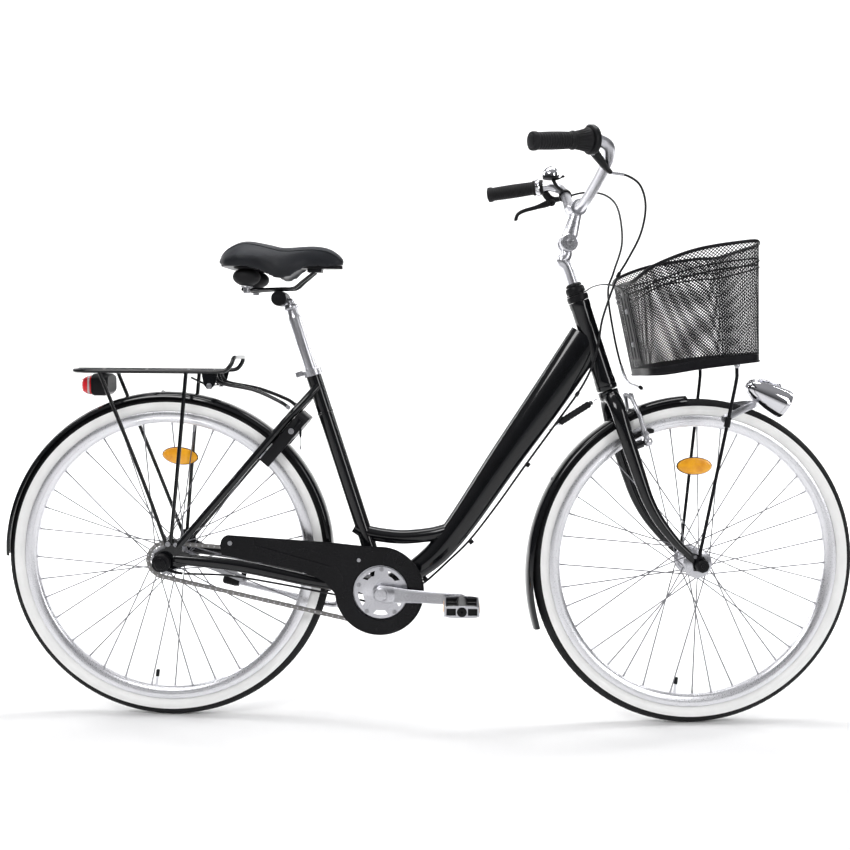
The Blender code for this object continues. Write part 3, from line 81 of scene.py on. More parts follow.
HEAD = joint_place("steering")
HEAD_AXIS = joint_axis("steering")
HEAD_SQUARE = ACROSS.cross(HEAD_AXIS)
REST_TURN = ACROSS.angle(joint_axis("front_wheel"))
TURNED = Matrix.Translation(HEAD) @ Matrix.Rotation(REST_TURN, 4, HEAD_AXIS) @ Matrix.Translation(-HEAD)
STRAIGHT = TURNED.inverted()
REAR_AXLE = joint_place("rear_wheel")
FRONT_AXLE = STRAIGHT @ joint_place("front_wheel")
CRANK = joint_place("crank")
PEDALS = {-1.0: joint_place("pedal_right"), 1.0: joint_place("pedal_left")}
POST_AXIS = joint_axis("seat_height")
SADDLE_TILT = joint_place("saddle_tilt")
STEM_PIVOT = STRAIGHT @ joint_place("stem_angle")
LEVER_PIVOT = STRAIGHT @ joint_place("brake_lever")
LEVER_AXIS = STRAIGHT.to_3x3() @ joint_axis("brake_lever")
STAND_PIVOT = joint_place("kickstand")
STAND_AXIS = joint_axis("kickstand")
BRAKE_PIVOT = STRAIGHT @ joint_place("brake_arm_left")

WHEEL_RADIUS = 0.35
TYRE_HALF = 0.019
SPOKES = 36
RING_TEETH = 36
SPROCKET_TEETH = 18
CHAIN_PITCH = 0.0127
CHAIN_LINE = 0.0465
SEAT_TUBE = 0.4912
TEETH_PLANE = (-0.0478, -0.0453)


# ---- materials ----------------------------------------------------------------------------
def node(tree, kind, **values):
    made = tree.nodes.new(kind)
    for key, value in values.items():
        made.inputs[key.replace("_", " ")].default_value = value
    return made


def surface(name, colour, rough, metallic=0.0, coat=0.0, shade=0.12, patches=14.0, grain=300.0,
        spread=0.08, bump=0.05, stretch=(1.0, 1.0, 1.0), cells=0.0, lines=0.0, transmission=0.0,
        sheen=0.0, worn=0.0, shine=0.5):
    """A procedural finish: uneven colour and gloss, fine relief, and wear on the edges of metal."""
    made = bpy.data.materials.new(name)
    made.use_nodes = True
    tree = made.node_tree
    link = tree.links.new
    shader = tree.nodes["Principled BSDF"]
    shader.inputs["Metallic"].default_value = metallic
    shader.inputs["Coat Weight"].default_value = coat
    shader.inputs["Coat Roughness"].default_value = 0.04
    shader.inputs["Transmission Weight"].default_value = transmission
    shader.inputs["Sheen Weight"].default_value = sheen
    shader.inputs["Specular IOR Level"].default_value = shine
    place = node(tree, "ShaderNodeTexCoord")
    scaled = node(tree, "ShaderNodeMapping", Scale=stretch)
    link(place.outputs["Object"], scaled.inputs["Vector"])
    broad = node(tree, "ShaderNodeTexNoise", Scale=patches, Detail=5.0)
    fine = node(tree, "ShaderNodeTexNoise", Scale=grain, Detail=4.0)
    link(place.outputs["Object"], broad.inputs["Vector"])
    link(scaled.outputs["Vector"], fine.inputs["Vector"])
    ramp = tree.nodes.new("ShaderNodeValToRGB")
    ramp.color_ramp.elements[0].position = 0.3
    ramp.color_ramp.elements[1].position = 0.7
    ramp.color_ramp.elements[0].color = [c * (1.0 - shade) for c in colour] + [1.0]
    ramp.color_ramp.elements[1].color = [min(c * (1.0 + shade), 1.0) for c in colour] + [1.0]
    link(broad.outputs["Fac"], ramp.inputs["Fac"])
    base = ramp.outputs["Color"]
    if worn:
        geometry = node(tree, "ShaderNodeNewGeometry")
        edge = node(tree, "ShaderNodeMapRange", From_Min=0.52, From_Max=0.62, To_Min=0.0, To_Max=worn)
        link(geometry.outputs["Pointiness"], edge.inputs["Value"])
        mix = tree.nodes.new("ShaderNodeMix")
        mix.data_type = "RGBA"
        mix.inputs["B"].default_value = [min(c * 1.8 + 0.02, 1.0) for c in colour] + [1.0]
        link(edge.outputs["Result"], mix.inputs["Factor"])
        link(base, mix.inputs["A"])
        base = mix.outputs["Result"]
    link(base, shader.inputs["Base Color"])
    gloss = node(tree, "ShaderNodeMapRange", From_Min=0.3, From_Max=0.7,
        To_Min=max(rough - spread, 0.02), To_Max=rough + spread)
    link(fine.outputs["Fac"], gloss.inputs["Value"])
    link(gloss.outputs["Result"], shader.inputs["Roughness"])
    relief = node(tree, "ShaderNodeBump", Strength=bump, Distance=0.0004)
    height = fine.outputs["Fac"]
    if cells:
        cell = node(tree, "ShaderNodeTexVoronoi", Scale=cells)
        link(scaled.outputs["Vector"], cell.inputs["Vector"])
        height = cell.outputs["Distance"]
    if lines:
        wave = node(tree, "ShaderNodeTexWave", Scale=lines, Distortion=0.0)
        link(scaled.outputs["Vector"], wave.inputs["Vector"])
        height = wave.outputs["Fac"]
    link(height, relief.inputs["Height"])
    link(relief.outputs["Normal"], shader.inputs["Normal"])
    return made


PAINT = surface("gloss_black_paint", (0.003, 0.0033, 0.0042), 0.14, coat=0.5, shade=0.25, patches=30.0,
    grain=900.0, spread=0.05, bump=0.02, worn=0.12, shine=0.2)
PLASTIC = surface("moulded_black_plastic", (0.0065, 0.0065, 0.0075), 0.4, shade=0.2, grain=1600.0,
    bump=0.22, shine=0.15)
GUARD = surface("gloss_black_plastic", (0.004, 0.004, 0.005), 0.24, coat=0.08, shade=0.2, grain=700.0,
    bump=0.05, shine=0.12)
RUBBER = surface("black_rubber", (0.0075, 0.0075, 0.0085), 0.62, shade=0.25, grain=1200.0, bump=0.3,
    shine=0.22)
TREAD = surface("tyre_tread", (0.008, 0.008, 0.009), 0.7, shade=0.3, patches=40.0, grain=900.0,
    bump=0.35, shine=0.22)
WHITEWALL = surface("tyre_whitewall", (0.86, 0.86, 0.85), 0.5, shade=0.035, patches=25.0, grain=500.0,
    bump=0.08)
ALLOY = surface("brushed_alloy", (0.52, 0.52, 0.55), 0.3, metallic=1.0, shade=0.05, grain=700.0,
    spread=0.1, bump=0.05, stretch=(1.0, 6.0, 1.0), worn=0.3)
RIM_ALLOY = surface("rim_alloy", (0.78, 0.78, 0.81), 0.3, metallic=1.0, shade=0.03, grain=500.0,
    spread=0.05, bump=0.015)
STEEL = surface("zinc_steel", (0.36, 0.36, 0.38), 0.34, metallic=1.0, shade=0.12, grain=500.0,
    spread=0.12, bump=0.08, worn=0.3)
CHROME = surface("chrome", (0.66, 0.66, 0.69), 0.07, metallic=1.0, shade=0.03, grain=250.0, spread=0.03,
    bump=0.01)
SPOKE = surface("spoke_steel", (0.2, 0.2, 0.215), 0.42, metallic=0.85, shade=0.15, grain=900.0,
    bump=0.03)
CHAIN_STEEL = surface("oiled_chain_steel", (0.17, 0.165, 0.16), 0.38, metallic=1.0, shade=0.3,
    patches=90.0, grain=800.0, spread=0.14, bump=0.1, worn=0.4)
SADDLE_TOP = surface("saddle_vinyl_top", (0.0125, 0.0142, 0.019), 0.5, shade=0.18, patches=18.0,
    grain=1500.0, spread=0.07, bump=0.5, cells=620.0, sheen=0.05, shine=0.25)
# Sides and underside of the pad: the top vinyl's colour at six tenths with a finer grain, painted shade
SADDLE_SHADED_SIDE = surface("saddle_vinyl_painted_shade", (0.0075, 0.0085, 0.0115), 0.44, shade=0.2, patches=18.0,
    grain=1500.0, spread=0.06, bump=0.3, cells=900.0, sheen=0.03, shine=0.25)
THREAD = surface("seam_thread", (0.035, 0.038, 0.045), 0.6, grain=2500.0, bump=0.4)
AMBER = surface("amber_reflector", (1.0, 0.39, 0.015), 0.18, coat=0.6, shade=0.2, patches=60.0,
    grain=500.0, bump=0.8, cells=260.0)
RED = surface("red_lens", (0.62, 0.012, 0.02), 0.14, coat=0.7, shade=0.2, patches=50.0, grain=400.0,
    bump=0.7, cells=300.0)
CLEAR = surface("ribbed_clear_lens", (0.88, 0.9, 0.92), 0.1, coat=0.5, shade=0.04, grain=300.0,
    bump=0.6, lines=60.0, transmission=0.55)
CABLE = surface("cable_sleeve", (0.006, 0.006, 0.0075), 0.4, shade=0.2, grain=900.0, bump=0.1,
    shine=0.3)
WIRE = surface("coated_wire", (0.006, 0.006, 0.0075), 0.36, shade=0.25, patches=60.0, grain=900.0,
    bump=0.1, shine=0.12)


# ---- building blocks ----------------------------------------------------------------------
def smooth_path(points, per_span=6):
    points = [Vector(p) for p in points]
    ends = [points[0] * 2.0 - points[1]] + points + [points[-1] * 2.0 - points[-2]]
    curve = []
    for a, b, c, d in zip(ends, ends[1:], ends[2:], ends[3:]):
        for step in range(per_span):
            t = step / per_span
            value = b * 2.0 + (c - a) * t + (a * 2.0 - b * 5.0 + c * 4.0 - d) * t * t
            value += (b * 3.0 - a - c * 3.0 + d) * t * t * t
            curve.append(value * 0.5)
    curve.append(points[-1])
    return curve


def arc(centre_x, centre_z, radius, start_deg, end_deg, steps):
    points = []
    for i in range(steps + 1):
        turn = radians(start_deg + (end_deg - start_deg) * i / steps)
        points.append((centre_x + radius * cos(turn), centre_z + radius * sin(turn)))
    return points


def turns(count):
    """The angles of a full circle's even steps."""
    return [2.0 * pi * k / count for k in range(count)]


def even(*half):
    """A profile of (radius, along) points, completed by its mirror image about along = 0."""
    return list(half) + [(radius, -along) for radius, along in reversed(half)]


def squared(turn, power):
    """The across and up shares of a point on a rounded rectangle's outline."""
    wide = math.copysign(abs(cos(turn)) ** power, cos(turn))
    tall = math.copysign(abs(sin(turn)) ** power, sin(turn))
    return wide, tall


def on_side(points, side):
    return [at(p[0], p[1] * side, p[2]) for p in points]


def mirror(points):
    return on_side(points, -1.0)


class Piece:
    """Gathers shapes into one mesh that rides on a body and may stand for CAD nodes."""

    def __init__(self, name, body, *materials, front=False):
        self.name = name
        self.body = body
        self.materials = materials
        self.front = front
        self.slot = 0
        self.bm = bmesh.new()

    def face(self, corners):
        made = self.bm.faces.new(corners)
        made.material_index = self.slot
        return made

    def ring(self, points):
        return [self.bm.verts.new(p) for p in points]

    def bridge(self, a, b):
        for i in range(len(a)):
            j = (i + 1) % len(a)
            self.face((a[i], a[j], b[j], b[i]))

    def loft(self, sections):
        """A skin over sections that have the same number of points."""
        rings = [self.ring(section) for section in sections]
        for a, b in zip(rings, rings[1:]):
            self.bridge(a, b)
        self.face(rings[0])
        self.face(rings[-1])

    def tube(self, path, sizes, sides=16, flat=None, spans=0):
        """A round or oval tube along a path; spans smooths it, flat aims the first half-size."""
        path = [Vector(p) for p in path]
        if not isinstance(sizes, list):
            sizes = [sizes] * len(path)
        sizes = [s if isinstance(s, tuple) else (s, s) for s in sizes]
        if spans:
            pairs = smooth_path([(a, b, 0.0) for a, b in sizes], spans)
            sizes = [(max(p.x, 1e-4), max(p.y, 1e-4)) for p in pairs]
            path = smooth_path(path, spans)
        sections = []
        side = None
        for i, point in enumerate(path):
            tangent = (path[min(i + 1, len(path) - 1)] - path[max(i - 1, 0)]).normalized()
            if flat is not None:
                side = flat - tangent * flat.dot(tangent)
            elif side is None:
                hint = ACROSS if abs(tangent.y) < 0.8 else UP
                side = hint - tangent * hint.dot(tangent)
            else:
                side = side - tangent * side.dot(tangent)
            side = side.normalized()
            other = tangent.cross(side)
            across, deep = sizes[i]
            ring = []
            for k in range(sides):
                turn = 2.0 * pi * (k + 0.5) / sides
                ring.append(point + side * across * cos(turn) + other * deep * sin(turn))
            sections.append(ring)
        self.loft(sections)

    def turned(self, centre, axis, profile, steps=48, closed=False):
        """A profile of (radius, along) points turned on an axis; closed makes it a ring."""
        axis = Vector(axis).normalized()
        hint = UP if abs(axis.z) < 0.9 else AHEAD
        first = (hint - axis * hint.dot(axis)).normalized()
        second = axis.cross(first)
        rings = []
        for radius, along in profile:
            ring = []
            for turn in turns(steps):
                spoke = first * cos(turn) + second * sin(turn)
                ring.append(Vector(centre) + axis * along + spoke * radius)
            rings.append(self.ring(ring))
        for a, b in zip(rings, rings[1:]):
            self.bridge(a, b)
        if closed:
            self.bridge(rings[-1], rings[0])
        else:
            self.face(rings[0])
            self.face(rings[-1])
        return rings

    def bolt(self, centre, axis, radius=0.004, height=0.003, sides=6):
        """A bolt head with a socket, standing on a surface."""
        axis = Vector(axis).normalized()
        self.turned(centre, axis, [(radius, -0.001), (radius, height * 0.8), (radius * 0.85, height),
            (radius * 0.5, height), (radius * 0.45, height * 0.3)], sides if sides > 6 else 18)
        self.turned(centre, axis, [(radius * 1.35, -0.001), (radius * 1.35, 0.0006)], 24)

    def plate(self, outline, near, far, holes=()):
        """A flat plate: an outline of (x, z) points with holes, between two places across."""
        loops = [outline] + list(holes)
        sides = []
        for y in sorted((near, far)):
            made = [self.ring([(x, y, z) for x, z in loop]) for loop in loops]
            edges = []
            for ring in made:
                edges += [self.bm.edges.new((ring[i], ring[(i + 1) % len(ring)]))
                    for i in range(len(ring))]
            filled = bmesh.ops.triangle_fill(self.bm, edges=edges, use_beauty=True)
            for item in filled["geom"]:
                if isinstance(item, bmesh.types.BMFace):
                    item.material_index = self.slot
            sides.append(made)
        for a, b in zip(*sides):
            self.bridge(a, b)

    def block(self, centre, size, turn=None):
        """A box."""
        place = Matrix.Translation(Vector(centre))
        if turn is not None:
            place = place @ turn
        made = bmesh.ops.create_cube(self.bm, size=1.0, matrix=place @ Matrix.Diagonal((*size, 1.0)))
        for vert in made["verts"]:
            for one in vert.link_faces:
                one.material_index = self.slot

    def done(self, *nodes, slot, bevel=0.0, sharp=32.0):
        """Makes the mesh an object, puts it on its body and hides the CAD nodes it replaces; slot is not
        used.
        """
        bmesh.ops.remove_doubles(self.bm, verts=self.bm.verts, dist=1e-6)
        bmesh.ops.recalc_face_normals(self.bm, faces=self.bm.faces)
        if self.front:
            self.bm.transform(TURNED)
        mesh = bpy.data.meshes.new(self.name)
        self.bm.to_mesh(mesh)
        self.bm.free()
        for one in self.materials:
            mesh.materials.append(one)
        mesh.shade_smooth()
        mesh.set_sharp_from_angle(angle=radians(sharp))
        thing = bpy.data.objects.new(self.name, mesh)
        bpy.context.collection.objects.link(thing)
        if bevel:
            soft = thing.modifiers.new("soft_edges", "BEVEL")
            soft.width = bevel
            soft.segments = 2
            soft.limit_method = "ANGLE"
            soft.angle_limit = radians(40.0)
            soft.harden_normals = True
        if self.body:
            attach(thing, self.body)
        if nodes:
            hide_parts(*nodes)
        return thing


# ---- wheels -------------------------------------------------------------------------------
def around(axle, radius, turn, across):
    return axle + at(radius * cos(turn), across, radius * sin(turn))


def build_tyre(prefix, axle, front):
    piece = Piece(f"{prefix}_tyre_rubber", f"{prefix}_wheel", TREAD, WHITEWALL, front=front)
    middle = WHEEL_RADIUS - TYRE_HALF
    casing = TYRE_HALF - 0.0008
    white_edge = 0.3372
    half = [(0.3046, 0.0094), (0.3146, 0.0094)]
    for step in range(15):
        turn = radians(-48.0 + 138.0 * step / 14)
        half.append((middle + casing * sin(turn), TYRE_HALF * cos(turn)))
    profile = half + [(radius, -across) for radius, across in reversed(half[:-1])]
    rings = piece.turned(axle, ACROSS, profile, 144, True)
    white = {vert for ring, (radius, _across) in zip(rings, profile) if radius < white_edge
        for vert in ring}
    for one in piece.bm.faces:
        if all(corner in white for corner in one.verts):
            one.material_index = 1
    blocks = 132
    for row, (low, high) in enumerate(((-0.0118, -0.0064), (-0.0042, 0.0042), (0.0064, 0.0118))):
        for k in range(blocks):
            turn = 2.0 * pi * (k + 0.5 * (row % 2)) / blocks
            wide = 2.0 * pi / blocks * 0.36
            corners = []
            for lift in (-0.001, 0.0008):
                for across, skew in ((low, -1.0), (high, 1.0)):
                    radius = middle + math.sqrt(casing ** 2 - across * across) + lift
                    for way in (-1.0, 1.0):
                        lean = skew * wide * 0.35 * (1.0 if row != 2 else -1.0)
                        corners.append(around(axle, min(radius, WHEEL_RADIUS), turn + way * wide + lean,
                            across))
            a, b, c, d, e, f, g, h = piece.ring(corners)
            for face in ((e, f, h, g), (a, b, f, e), (c, d, h, g), (a, c, g, e), (b, d, h, f)):
                piece.face(face)
    piece.done(f"{prefix}_tyre", slot="tyre_rubber")


def build_rim(prefix, axle, front):
    piece = Piece(f"{prefix}_rim_ring", f"{prefix}_wheel", RIM_ALLOY, RUBBER, front=front)
    half = [(0.2893, 0.0), (0.2895, 0.0045), (0.2915, 0.008), (0.2955, 0.0108), (0.3005, 0.0122),
        (0.3012, 0.0119), (0.3018, 0.0122), (0.3125, 0.0124), (0.3138, 0.012), (0.3142, 0.0112),
        (0.3136, 0.0102), (0.3046, 0.0101)]
    profile = half + [(radius, -across) for radius, across in reversed(half[1:])]
    piece.turned(axle, ACROSS, profile, 144, True)
    down = radians(-97.0)
    inward = at(-cos(down), 0.0, -sin(down))
    foot = around(axle, 0.2895, down, 0.0)
    piece.turned(foot, inward, [(0.0052, -0.002), (0.0052, 0.0012), (0.0031, 0.0016), (0.0031, 0.024),
        (0.0024, 0.025)])
    piece.slot = 1
    piece.turned(foot, inward, [(0.004, 0.02), (0.004, 0.033), (0.003, 0.0345)], 24)
    piece.done(f"{prefix}_rim", slot="alloy")


def build_spokes(prefix, axle, flanges, flange_radius, front):
    """Spokes laced over three crossings, with heads at the flanges and nipples at the rim."""
    piece = Piece(f"{prefix}_spokes", f"{prefix}_wheel", SPOKE, STEEL, front=front)
    per_side = SPOKES // 2
    lean = radians(58.0)
    rim_inside = 0.289
    for index, flange in enumerate(flanges):
        out = 1.0 if flange > 0.0 else -1.0
        for k in range(per_side):
            leading = 1.0 if k % 2 else -1.0
            base = 2.0 * pi * (k + 0.5 * index) / per_side
            start = around(axle, flange_radius, base + leading * lean, flange + 0.0016 * leading)
            end = around(axle, rim_inside, base + leading * radians(1.0),
                0.003 * out + 0.0005 * leading)
            piece.slot = 0
            piece.tube([start, end], 0.0013, 8)
            piece.turned(start, ACROSS, [(0.0021, -0.0012), (0.0021, 0.0012)], 12)
            piece.slot = 1
            piece.tube([end + (start - end).normalized() * 0.013, end], [0.0017, 0.0022], 8)
    return piece


def build_hub_rear():
    piece = build_spokes("rear", REAR_AXLE, (-0.031, 0.029), 0.027, False)
    piece.done(slot="steel")
    hub = Piece("rear_hub_shell", "rear_wheel", ALLOY)
    shell = [(0.0062, -0.0405), (0.0235, -0.0405), (0.025, -0.0395), (0.0262, -0.035), (0.03, -0.0335),
        (0.0304, -0.031), (0.03, -0.029), (0.0262, -0.0275), (0.025, -0.02), (0.0246, 0.0),
        (0.025, 0.02), (0.0262, 0.0255), (0.03, 0.027), (0.0304, 0.029), (0.03, 0.031), (0.0258, 0.033),
        (0.025, 0.037), (0.0225, 0.044), (0.0205, 0.046), (0.0062, 0.046)]
    hub.turned(REAR_AXLE, ACROSS, shell, 64, True)
    hub.done("rear_hub_and_spokes", slot="alloy")
    axle = Piece("rear_axle_and_nuts", "frame", STEEL)
    face = 0.0653
    axle.turned(REAR_AXLE, ACROSS, [(0.0047, -0.0736), (0.005, -0.073), (0.005, 0.079), (0.0042, 0.08)],
        32)
    for side in (-1.0, 1.0):
        axle.turned(REAR_AXLE, ACROSS, [(0.0055, side * face), (0.012, side * face),
            (0.012, side * (face + 0.0012)), (0.0055, side * (face + 0.0012))], 32, True)
        axle.turned(REAR_AXLE, ACROSS, [(0.0048, side * (face + 0.0013)),
            (0.0092, side * (face + 0.0013)), (0.0092, side * 0.0722), (0.0078, side * 0.0728),
            (0.0048, side * 0.0728)], 6, True)
    axle.done("rear_axle", slot="steel", bevel=0.0003)
    box = Piece("gear_click_box_shell", "frame", PLASTIC, GUARD)
    box.turned(REAR_AXLE, ACROSS, [(0.0186, -0.0742), (0.02, -0.0756), (0.02, -0.0792),
        (0.019, -0.0842), (0.0165, -0.0858), (0.0136, -0.0862)], 64)
    box.slot = 1
    box.turned(REAR_AXLE, ACROSS, [(0.0134, -0.0855), (0.0132, -0.0878), (0.0118, -0.0892),
        (0.006, -0.0897), (0.001, -0.0898)], 48)
    box.tube([(0.01, -0.08, 0.338), (0.028, -0.078, 0.331), (0.044, -0.074, 0.327)],
        [0.0042, 0.0034, 0.0026], 16, spans=4)
    box.done("gear_click_box", slot="black_plastic", bevel=0.0003)


def build_hub_front():
    piece = build_spokes("front", FRONT_AXLE, (-0.031, 0.032), 0.0275, True)
    piece.done(slot="steel")
    hub = Piece("front_dynamo_hub_shell", "front_wheel", ALLOY, front=True)
    shell = [(0.0062, -0.0488), (0.011, -0.0488), (0.0122, -0.047), (0.018, -0.04), (0.0255, -0.0372),
        (0.03, -0.0352), (0.0312, -0.033), (0.0312, -0.0295), (0.03, -0.0275), (0.0262, -0.0262),
        (0.0245, -0.018), (0.024, 0.0), (0.0245, 0.018), (0.0262, 0.027), (0.03, 0.0285),
        (0.0312, 0.03), (0.0312, 0.0335), (0.03, 0.035), (0.0185, 0.0385), (0.012, 0.047),
        (0.011, 0.0485), (0.0062, 0.0485)]
    hub.turned(FRONT_AXLE, ACROSS, shell, 64, True)
    hub.done("front_hub_and_spokes", slot="alloy")
    axle = Piece("front_axle_and_caps", "steering", STEEL, PLASTIC, front=True)
    axle.turned(FRONT_AXLE, ACROSS, [(0.0048, -0.064), (0.0048, 0.064)], 24)
    axle.slot = 1
    for side in (-1.0, 1.0):
        axle.turned(FRONT_AXLE, ACROSS, [(0.005, side * 0.056), (0.0146, side * 0.056),
            (0.015, side * 0.058), (0.015, side * 0.065), (0.0138, side * 0.0692),
            (0.011, side * 0.0712), (0.005, side * 0.0716)], 8, True)
        axle.turned(FRONT_AXLE, ACROSS, [(0.0046, side * 0.07), (0.0046, side * 0.0722)], 24)
    axle.done("front_axle", slot="black_plastic", bevel=0.0012)


def build_reflector(prefix, axle, angle_deg, radius, front):
    """An oval reflector with a rounded lens on each face, in a clip on the spokes."""
    piece = Piece(f"{prefix}_reflector_lens", f"{prefix}_wheel", AMBER, PLASTIC, front=front)
    turn = radians(angle_deg)
    out = at(cos(turn), 0.0, sin(turn))
    along = at(sin(turn), 0.0, -cos(turn))
    middle = axle + out * radius

    def oval(half_long, half_high, across):
        ring = []
        for k in range(48):
            spin = 2.0 * pi * k / 48
            point = middle + along * half_long * cos(spin) + out * half_high * sin(spin)
            ring.append(point + ACROSS * across)
        return ring

    piece.loft([oval(0.03, 0.012, -0.0058), oval(0.035, 0.0158, -0.0052), oval(0.0372, 0.0176, -0.003),
        oval(0.0372, 0.0176, 0.003), oval(0.035, 0.0158, 0.0052), oval(0.03, 0.012, 0.0058)])
    piece.slot = 1
    piece.loft([oval(0.0385, 0.0187, -0.0016), oval(0.0392, 0.0192, 0.0), oval(0.0385, 0.0187, 0.0016)])
    piece.block(middle, (0.006, 0.011, 0.036), Matrix.Rotation(-turn, 4, ACROSS))
    piece.done(f"{prefix}_reflector", slot="amber_lens")


def build_wheels():
    for prefix, axle, front in (("rear", REAR_AXLE, False), ("front", FRONT_AXLE, True)):
        build_tyre(prefix, axle, front)
        build_rim(prefix, axle, front)
    build_hub_rear()
    build_hub_front()
    build_reflector("rear", REAR_AXLE, 84.0, 0.219, False)
    build_reflector("front", FRONT_AXLE, 90.0, 0.205, True)


# ---- mudguards ----------------------------------------------------------------------------
def build_fender(prefix, axle, body, start_deg, end_deg, flare_from, flare, front):
    """A rolled sheet that arches over the tyre, its edges turned in."""
    piece = Piece(f"{prefix}_fender_sheet", body, PAINT, STEEL, front=front)
    crown = 0.357
    half_width = 0.026
    sheet = 0.0011
    edge_drop = 0.0125
    outer = []
    inner = []
    for step in range(15):
        turn = radians(180.0 * step / 14)
        across = half_width * cos(turn)
        drop = edge_drop * (1.0 - sin(turn) ** 0.75)
        outer.append((across, crown - drop))
        inner.append((across * (1.0 - sheet / half_width), crown - drop - sheet * sin(turn)))
    outline = outer + inner[::-1]
    steps = 110
    sections = []
    for i in range(steps + 1):
        angle = start_deg + (end_deg - start_deg) * i / steps
        share = max(angle - flare_from, 0.0) / max(end_deg - flare_from, 1.0)
        tail = flare * share * share
        taper = 1.0 - 0.12 * max(0.0, 1.0 - i / 3.0) - 0.12 * max(0.0, 1.0 - (steps - i) / 3.0)
        sections.append([around(axle, radius + tail, radians(angle), across * taper)
            for across, radius in outline])
    piece.loft(sections)
    piece.slot = 1
    for angle in ((176.0, 92.0) if prefix == "rear" else (150.0,)):
        turn = radians(angle)
        out = at(cos(turn), 0.0, sin(turn))
        share = max(angle - flare_from, 0.0) / max(end_deg - flare_from, 1.0)
        piece.bolt(around(axle, crown + flare * share * share, turn, 0.0), out, 0.003, 0.002)
    piece.done(f"{prefix}_fender", slot="black_paint")


